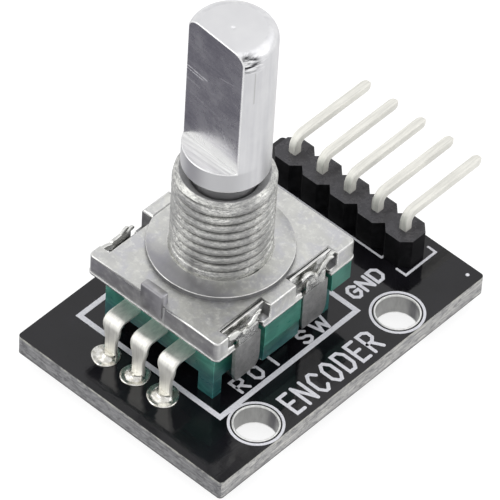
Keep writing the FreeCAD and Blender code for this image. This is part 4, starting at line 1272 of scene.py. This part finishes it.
def casting():
    """Die-cast plate with its flange disc and stops, open where bushing() puts the thread."""
    plate = cad_copy("bushing_plate")
    reach = 3.6 * MM
    doomed = [face for face in plate.faces
              if any(vert.co.z > 0.01 * MM and math.hypot(vert.co.x, vert.co.y) < reach
                     for vert in face.verts)]
    bmesh.ops.delete(plate, geom=doomed, context="FACES")
    loose = [vert for vert in plate.verts if not vert.link_faces]
    bmesh.ops.delete(plate, geom=loose, context="VERTS")
    open_edges = [edge for edge in plate.edges if edge.is_boundary]
    bmesh.ops.bridge_loops(plate, edges=open_edges)
    bmesh.ops.recalc_face_normals(plate, faces=plate.faces)
    _, high = box_mm("bushing_plate")
    for face in plate.faces:
        spot = face.calc_center_median() / MM
        steep = abs(face.normal.z) < 0.5
        in_notch = (4.8 < abs(spot.x) < high.x - 0.05
                    and min(abs(spot.y - row) for row in BRACKET_ROWS) < 2.05 and spot.z < -0.4)
        on_step = steep and abs(math.hypot(spot.x, spot.y) - FLANGE_RADIUS) < 0.2 and spot.z < 0.0
        # Painted shade: faces inside the bracket notches take the darker zinc, the flange's step
        # face the near-black.
        if in_notch:
            face.material_index = 2
        elif on_step:
            face.material_index = 3
    piece = make_piece("casting_plate", plate, [zinc, zinc_painted_highlight, zinc_recess_painted_shade, zinc_step_painted_shade],
                       stands_for=["bushing_plate"])

    def softness(spot):
        if spot.x < -5.5 and spot.z < -0.45:
            return 0.25
        if abs(math.hypot(spot.x, spot.y) - FLANGE_RADIUS) < 0.1 and spot.z > -0.1:
            return 0.22
        return 1.0 if spot.x < -4.9 and spot.z > -0.35 else 0.5

    # The rounded edges take the brighter zinc: a painted highlight.
    rounding = add_bevel(piece, 0.22, segments=1, angle=28.0,
                         paint=1, swell=softness)
    rounding.use_clamp_overlap = False


def casting_lip():
    """Proud line of flash round the plate's lower edge, broken where the bracket passes."""
    low, high = box_mm("bushing_plate")
    foot = low.z + 0.09
    slots = [(row - 1.4, row + 1.4) for row in BRACKET_ROWS]
    corner = 0.4
    shell = Shell()
    runs = [([(low.x, slots[0][0]), (low.x, low.y), (high.x, low.y), (high.x, slots[0][0])],
             [corner, corner]),
            ([(high.x, slots[1][1]), (high.x, high.y), (low.x, high.y), (low.x, slots[1][1])],
             [corner, corner]),
            ([(high.x, slots[0][1]), (high.x, slots[1][0])], []),
            ([(low.x, slots[1][0]), (low.x, slots[0][1])], [])]

    def section(share, gone):
        proud = 0.055 + 0.02 * noise.noise(Vector((gone * 1.3, 4.0, 0.0)))
        height = 0.085 + 0.02 * noise.noise(Vector((gone * 0.9, 9.0, 0.0)))
        return rounded_rectangle(height, proud, 0.03, 2)

    for corners, radii in runs:
        shell.loft(sweep(rounded_path(corners, radii, 0.2), section,
                         lambda across, x, y: (x, y, foot + across)))
    # The lip takes the brighter zinc as a painted highlight.
    make_piece("casting_lip", shell, [zinc_painted_highlight])


def nib_face():
    """Front pad of the anti-turn stop, a hair proud of the plate's front."""
    low, _ = box_mm("bushing_plate")
    half = 0.97
    top = 0.5
    foot = -1.62
    lean = 0.06
    shell = Shell()
    loops = []
    for y, inset in ((low.y + 0.58, 0.05), (low.y + 0.5, 0.0), (low.y - 0.03, 0.0),
                     (low.y - 0.09, 0.03), (low.y - 0.11, 0.09)):
        outline = rounded_rectangle(half - inset, (top - foot) / 2.0 - inset, 0.1)
        loops.append([(lean + u, y, (top + foot) / 2.0 + v) for u, v in outline])
    shell.loft(loops)
    # The nib takes the darker zinc: painted shade on its front.
    make_piece("casting_nib", shell, [zinc_front_painted_shade])
    slit = Shell()
    loops = []
    for level, wide in ((-0.45, 0.06), (-0.7, 0.085), (-1.3, 0.07), (-1.95, 0.05)):
        loops.append([(lean + half + 0.13 + u, low.y + 0.05 + v, level)
                      for u, v in rounded_rectangle(wide, 0.068, 0.03)])
    slit.loft(loops)
    make_piece("casting_seam", slit, [zinc_dark])


def notch_ribs():
    """Thin cast rib along the inner side of each right-hand bracket notch."""
    _, high = box_mm("bushing_plate")
    foot = -1.7
    half_rise = (-0.47 - foot) / 2.0
    shell = Shell()
    for row in BRACKET_ROWS:
        outline = rounded_rectangle(0.095, half_rise, 0.05)
        shell.loft([[(high.x - 0.73 + u, y, foot + half_rise + v) for u, v in outline]
                    for y in (row - 1.98, row + 1.98)])
    # The ribs take the brighter zinc as a painted highlight.
    make_piece("casting_ribs", shell, [zinc_painted_highlight])


def thread_radius(level, phase, top):
    """Radius of the thread at a level; phase is the place within one turn's pitch."""
    wave = abs(2.0 * phase - 1.0)
    form = ease(ramp(wave, 0.62, 0.34))
    swell = 0.05 * (1.0 - (wave / 0.5) ** 2) if wave < 0.5 else 0.0
    radius = THREAD_CREST - 0.05 + swell - THREAD_DEPTH * form * ramp(level, 0.12, 0.6)
    chamfer = MOUTH_RADIUS + (top - level) * 0.9
    return min(radius, chamfer)


def threaded_bushing():
    """Bushing's thread skin: a real helical thread of 0.75 mm pitch with a chamfered mouth;
    bushing() adds the bore.
    """
    _, high = box_mm("bushing_plate")
    top = high.z
    pitch = 0.75
    per_turn = 12
    around = 160
    step = pitch / per_turn
    rows = int((top + 2.0 * pitch) / step)
    foot = -0.06
    grid = []
    for row in range(rows + 1):
        ring = []
        for column in range(around):
            angle = TAU * column / around
            raw = -pitch + row * step + pitch * column / around
            level = min(max(raw, foot), top)
            phase = (row % per_turn) / per_turn
            radius = thread_radius(level, phase, top)
            spot = Vector((math.cos(angle) * 6.0, math.sin(angle) * 6.0, level * 3.2))
            dent = noise.noise(spot) * 0.014 + noise.noise(spot * 2.7) * 0.012
            ring.append(((radius + dent) * math.cos(angle), (radius + dent) * math.sin(angle),
                         level))
        grid.append(ring)
    points = [Vector(point) * MM for ring in grid for point in ring]
    faces = []
    for row in range(rows):
        for column in range(around):
            if column < around - 1:
                faces.append((row * around + column, row * around + column + 1,
                              (row + 1) * around + column + 1, (row + 1) * around + column))
            elif row + 1 + per_turn <= rows:
                faces.append((row * around + column, (row + per_turn) * around,
                              (row + 1 + per_turn) * around, (row + 1) * around + column))
    sleeve = bmesh.new()
    mesh = bpy.data.meshes.new("thread_skin")
    mesh.from_pydata(points, [], faces)
    sleeve.from_mesh(mesh)
    bpy.data.meshes.remove(mesh)
    bmesh.ops.remove_doubles(sleeve, verts=sleeve.verts, dist=0.004 * MM)
    bmesh.ops.dissolve_degenerate(sleeve, dist=0.002 * MM, edges=sleeve.edges)
    return sleeve, top


def bushing():
    """Thread and bore as two pieces of one casting."""
    sleeve, top = threaded_bushing()
    make_piece("bushing_thread", sleeve, [zinc_thread])
    inner = Shell()
    bore = 2.32
    rim = MOUTH_RADIUS
    count = 96
    profile = [(rim + 0.01, top - 0.01), (rim - 0.03, top), (rim - 0.08, top - 0.03),
               (bore + 0.1, top - 0.5), (bore + 0.02, top - 0.6), (bore, top - 0.75), (bore, -0.9),
               (rim - 0.1, -0.9), (rim - 0.1, top - 0.2)]
    inner.loft([circle(radius, level, count) for radius, level in profile], closed=True)
    make_piece("bushing_bore", inner, [zinc_dark])


# ================================================================= shaft
SHAFT_CHORD = 1.5
SHAFT_TURN = math.radians(-90.0 - 4.4)
CHORD_POINTS = 24
ARC_POINTS = 96


def shaft_ring(radius, reach, level, cut):
    """One loop of the shaft: the chord side first, then the round side; cut makes the flat."""
    spread = math.acos(min(1.0, SHAFT_CHORD / (reach if cut else radius)))
    points = []
    for step in range(CHORD_POINTS):
        share = -1.0 + 2.0 * step / CHORD_POINTS
        if cut:
            points.append(Vector((SHAFT_CHORD, reach * math.sin(spread) * share)))
        else:
            points.append(Vector((reach * math.cos(spread * share),
                                  reach * math.sin(spread * share))))
    for step in range(ARC_POINTS):
        angle = spread + (TAU - 2.0 * spread) * step / ARC_POINTS
        points.append(Vector((reach * math.cos(angle), reach * math.sin(angle))))
    return [(x * math.cos(SHAFT_TURN) - y * math.sin(SHAFT_TURN),
             x * math.sin(SHAFT_TURN) + y * math.cos(SHAFT_TURN), level) for x, y in points]


def shaft_drive(radius, level):
    """Loop of the two-flat drive end."""
    half_flat = 1.55
    return [(min(max(x, -half_flat), half_flat), y, z)
            for x, y, z in shaft_ring(radius, 1.9, level, False)]


def shaft_end(shell, rim, top):
    """Faced end inside a rim loop, with a small centre mark."""
    loops = [rim]
    for reach, level in ((0.24, top), (0.15, top), (0.08, top - 0.04), (0.02, top - 0.05)):
        angles = [math.atan2(y, x) for x, y, _ in rim]
        loops.append([(reach * math.cos(angle), reach * math.sin(angle), level)
                      for angle in angles])
    shell.loft(loops, paint=3, caps=False)
    shell.add(loops[-1], [tuple(range(len(rim)))], 3)


def shaft():
    """Turned shaft with a D end: arcs and chord carried up through rings of matching points."""
    low, high = box_mm("shaft")
    radius = (high.x - low.x) / 2.0
    ledge_level = 9.5
    round_over = 0.8
    collar = 7.7
    count = CHORD_POINTS + ARC_POINTS

    def ring(reach, level, cut):
        return shaft_ring(radius, reach, level, cut)

    shell = Shell()
    lower = [shaft_drive(radius, low.z), shaft_drive(radius, -1.6)]
    for reach, level in ((2.25, -1.6), (2.25, -1.32), (1.75, -1.32), (1.75, -0.98),
                         (2.25, -0.98), (2.25, collar), (radius - 0.12, collar),
                         (radius, collar + 0.12), (radius, ledge_level)):
        lower.append(ring(reach, level, False))
    shell.loft(lower, caps=False)
    shell.add(lower[0], [tuple(range(count))])
    upper = [ring(radius, ledge_level, True)]
    shell.loft([lower[-1], upper[0]], paint=2, caps=False)
    for step in range(1, 24):
        level = ledge_level + (high.z - round_over - ledge_level) * step / 24.0
        upper.append(ring(radius, level, True))
    for step in range(9):
        angle = math.radians(90.0 * step / 8.0)
        upper.append(ring(radius - round_over + round_over * math.cos(angle),
                          high.z - round_over + round_over * math.sin(angle), True))
    round_side = [(index, (index + 1) % count, count + (index + 1) % count, count + index)
                  for index in range(CHORD_POINTS, count)]
    for lower_row, upper_row in zip(upper, upper[1:]):
        shell.add(lower_row + upper_row, round_side)
    outline = upper[0][:CHORD_POINTS] + [row[CHORD_POINTS] for row in upper]
    outline += upper[-1][CHORD_POINTS - 1::-1] + [row[0] for row in upper[-2:0:-1]]
    shell.add(outline, [tuple(range(len(outline)))], 1)
    shaft_end(shell, upper[-1], high.z)
    piece = make_piece("shaft_turned", shell, [turned, milled, ledge, faced, aluminium_painted_highlight],
                       body="shaft", stands_for=["shaft"])
    # The rounded edges take the near-white aluminium: a painted highlight.
    add_bevel(piece, 0.11, segments=1, angle=40.0, paint=4)


# ================================================================= small parts kept from CAD
def inner_parts():
    """Hidden pieces keep their CAD mesh and get their own finish."""
    finishes = {"rotor": rotor_plastic, "switch_plunger": rotor_plastic,
                "code_disc": tinned_copper, "detent_spring": spring_metal,
                "retaining_ring": spring_metal}
    for name, finish in finishes.items():
        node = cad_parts[name]
        node.data.materials.clear()
        node.data.materials.append(finish)


def dome():
    """Snap dome of the push switch (the real one flattens under the plunger), kept in its CAD
    shape on a mesh of its own.
    """
    piece = make_piece("dome_sprung", cad_copy("snap_dome"), [spring_metal],
                       stands_for=["snap_dome"])
    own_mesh(piece)


def chips():
    """Chip resistors: a ceramic body with a rounded tin cap and fillet at each end."""
    for index in (1, 2):
        node = "chip_resistor_%d" % index
        low, high = box_mm(node)
        cap = 0.42
        shell = Shell()
        for first, last, proud, paint in ((low.x + cap - 0.05, high.x - cap + 0.05, 0.0, 0),
                                          (low.x, low.x + cap, 0.03, 1),
                                          (high.x - cap, high.x, 0.03, 1)):
            loops = []
            half = (high.y - low.y) / 2.0 + proud
            rise = (high.z - low.z) / 2.0 + proud / 2.0
            for share, shrink in ((0.0, 0.1), (0.06, 0.03), (0.14, 0.0), (0.86, 0.0),
                                  (0.94, 0.03), (1.0, 0.1)):
                across = first + (last - first) * share
                outline = rounded_rectangle(half - shrink, rise - shrink, 0.08)
                loops.append([(across, (low.y + high.y) / 2.0 + u, (low.z + high.z) / 2.0 + v)
                              for u, v in outline])
            shell.loft(loops, paint=paint)
        make_piece("chip_%d" % index, shell, [ceramic, tinned_copper],
                   stands_for=[node])


circuit_board()
hole_rings()
legend()
header()
header_pins()
strip_solder()
pin_solder()
encoder_strips()
switch_strips()
base()
bracket()
casting()
casting_lip()
nib_face()
notch_ribs()
bushing()
shaft()
inner_parts()
dome()
chips()


# ================================================================= stage, light and camera
def floor():
    """White ground at the part's lowest level, not seen in reflections."""
    mesh = bpy.data.meshes.new("floor")
    reach = 0.6
    level = cad_bounds[0].z
    mesh.from_pydata([(-reach, -reach, level), (reach, -reach, level), (reach, reach, level),
                      (-reach, reach, level)], [], [(0, 1, 2, 3)])
    paint = Paint("floor_white", (0.92, 0.92, 0.92), roughness=0.9)
    grain = paint.noise(0.05, 2.0)
    paint.color(paint.mix(grain, (0.24, 0.24, 0.24), (0.26, 0.26, 0.26)))
    paint.set(Emission_Color=(1.0, 1.0, 1.0, 1.0), Emission_Strength=0.85)
    mesh.materials.append(paint.material)
    ground = bpy.data.objects.new("floor", mesh)
    link(ground)
    ground.visible_glossy = False


def sky():
    """Soft white surroundings: a grey part low in front, two bright parts and a pale horizon."""
    world = bpy.data.worlds.new("studio")
    bpy.context.scene.world = world
    world.use_nodes = True
    nodes = Nodes(world.node_tree)
    way = nodes.node("ShaderNodeTexCoord").outputs["Generated"]
    color = nodes.node("ShaderNodeRGB").outputs[0]
    color.default_value = (0.86, 0.86, 0.87, 1.0)
    for target, direction, inner, outer in (
            ((0.29, 0.285, 0.32), (-0.514, -0.45, -0.73), 12.0, 27.0),
            ((2.4, 2.4, 2.36), (-0.525, -0.674, 0.468), 8.0, 25.0),
            ((2.0, 2.0, 1.97), (0.73, 0.52, 0.44), 5.0, 14.0)):
        toward = nodes.measure("DOT_PRODUCT", way, Vector(direction).normalized())
        share = nodes.span(toward, math.cos(math.radians(outer)), math.cos(math.radians(inner)),
                           shape="SMOOTHSTEP")
        color = nodes.mix(share, color, target)
    height = nodes.node("ShaderNodeSeparateXYZ", Vector=way).outputs["Z"]
    horizon = nodes.span(nodes.number("ABSOLUTE", height), 0.2, 0.1)
    background = world.node_tree.nodes["Background"]
    nodes.feed(background.inputs["Color"], nodes.mix(horizon, color, 1.03))
    nodes.feed(background.inputs["Strength"], 1.0)


def lamp(name, azimuth, elevation, distance, size, power):
    """Square soft lamp aimed at the part; azimuth turns from +X towards +Y."""
    data = bpy.data.lights.new(name, "AREA")
    data.shape = "SQUARE"
    data.size = size
    data.energy = power
    turn = math.radians(azimuth)
    tilt = math.radians(elevation)
    spot = Vector((math.cos(turn) * math.cos(tilt), math.sin(turn) * math.cos(tilt),
                   math.sin(tilt))) * distance
    light = bpy.data.objects.new(name, data)
    light.location = spot
    light.rotation_mode = "QUATERNION"
    light.rotation_quaternion = (-spot).to_track_quat("-Z", "Y")
    link(light)


def camera():
    """Long lens looking down at the part from the front right, tilted a little."""
    azimuth = math.radians(39.99)
    elevation = math.radians(46.86)
    roll = math.radians(3.7)
    distance = 0.38
    aim = Vector((1.55, 1.2, -0.53)) * MM
    back = Vector((math.sin(azimuth) * math.cos(elevation),
                   -math.cos(azimuth) * math.cos(elevation), math.sin(elevation)))
    level_right = Vector((math.cos(azimuth), math.sin(azimuth), 0.0))
    level_up = back.cross(level_right)
    right = level_right * math.cos(roll) + level_up * math.sin(roll)
    up = back.cross(right)
    data = bpy.data.cameras.new("camera")
    data.sensor_width = 36.0
    data.lens = 411.5
    data.clip_start = 0.01
    data.clip_end = 10.0
    eye = bpy.data.objects.new("camera", data)
    eye.matrix_world = Matrix((
        (right.x, up.x, back.x, aim.x + back.x * distance),
        (right.y, up.y, back.y, aim.y + back.y * distance),
        (right.z, up.z, back.z, aim.z + back.z * distance),
        (0.0, 0.0, 0.0, 1.0)))
    link(eye)
    bpy.context.scene.camera = eye


floor()
sky()
lamp("key", 60.0, 55.0, 0.35, 0.4, 0.2)
lamp("fill", -150.0, 60.0, 0.4, 0.3, 0.15)
camera()
bpy.context.scene.view_settings.view_transform = "Standard"
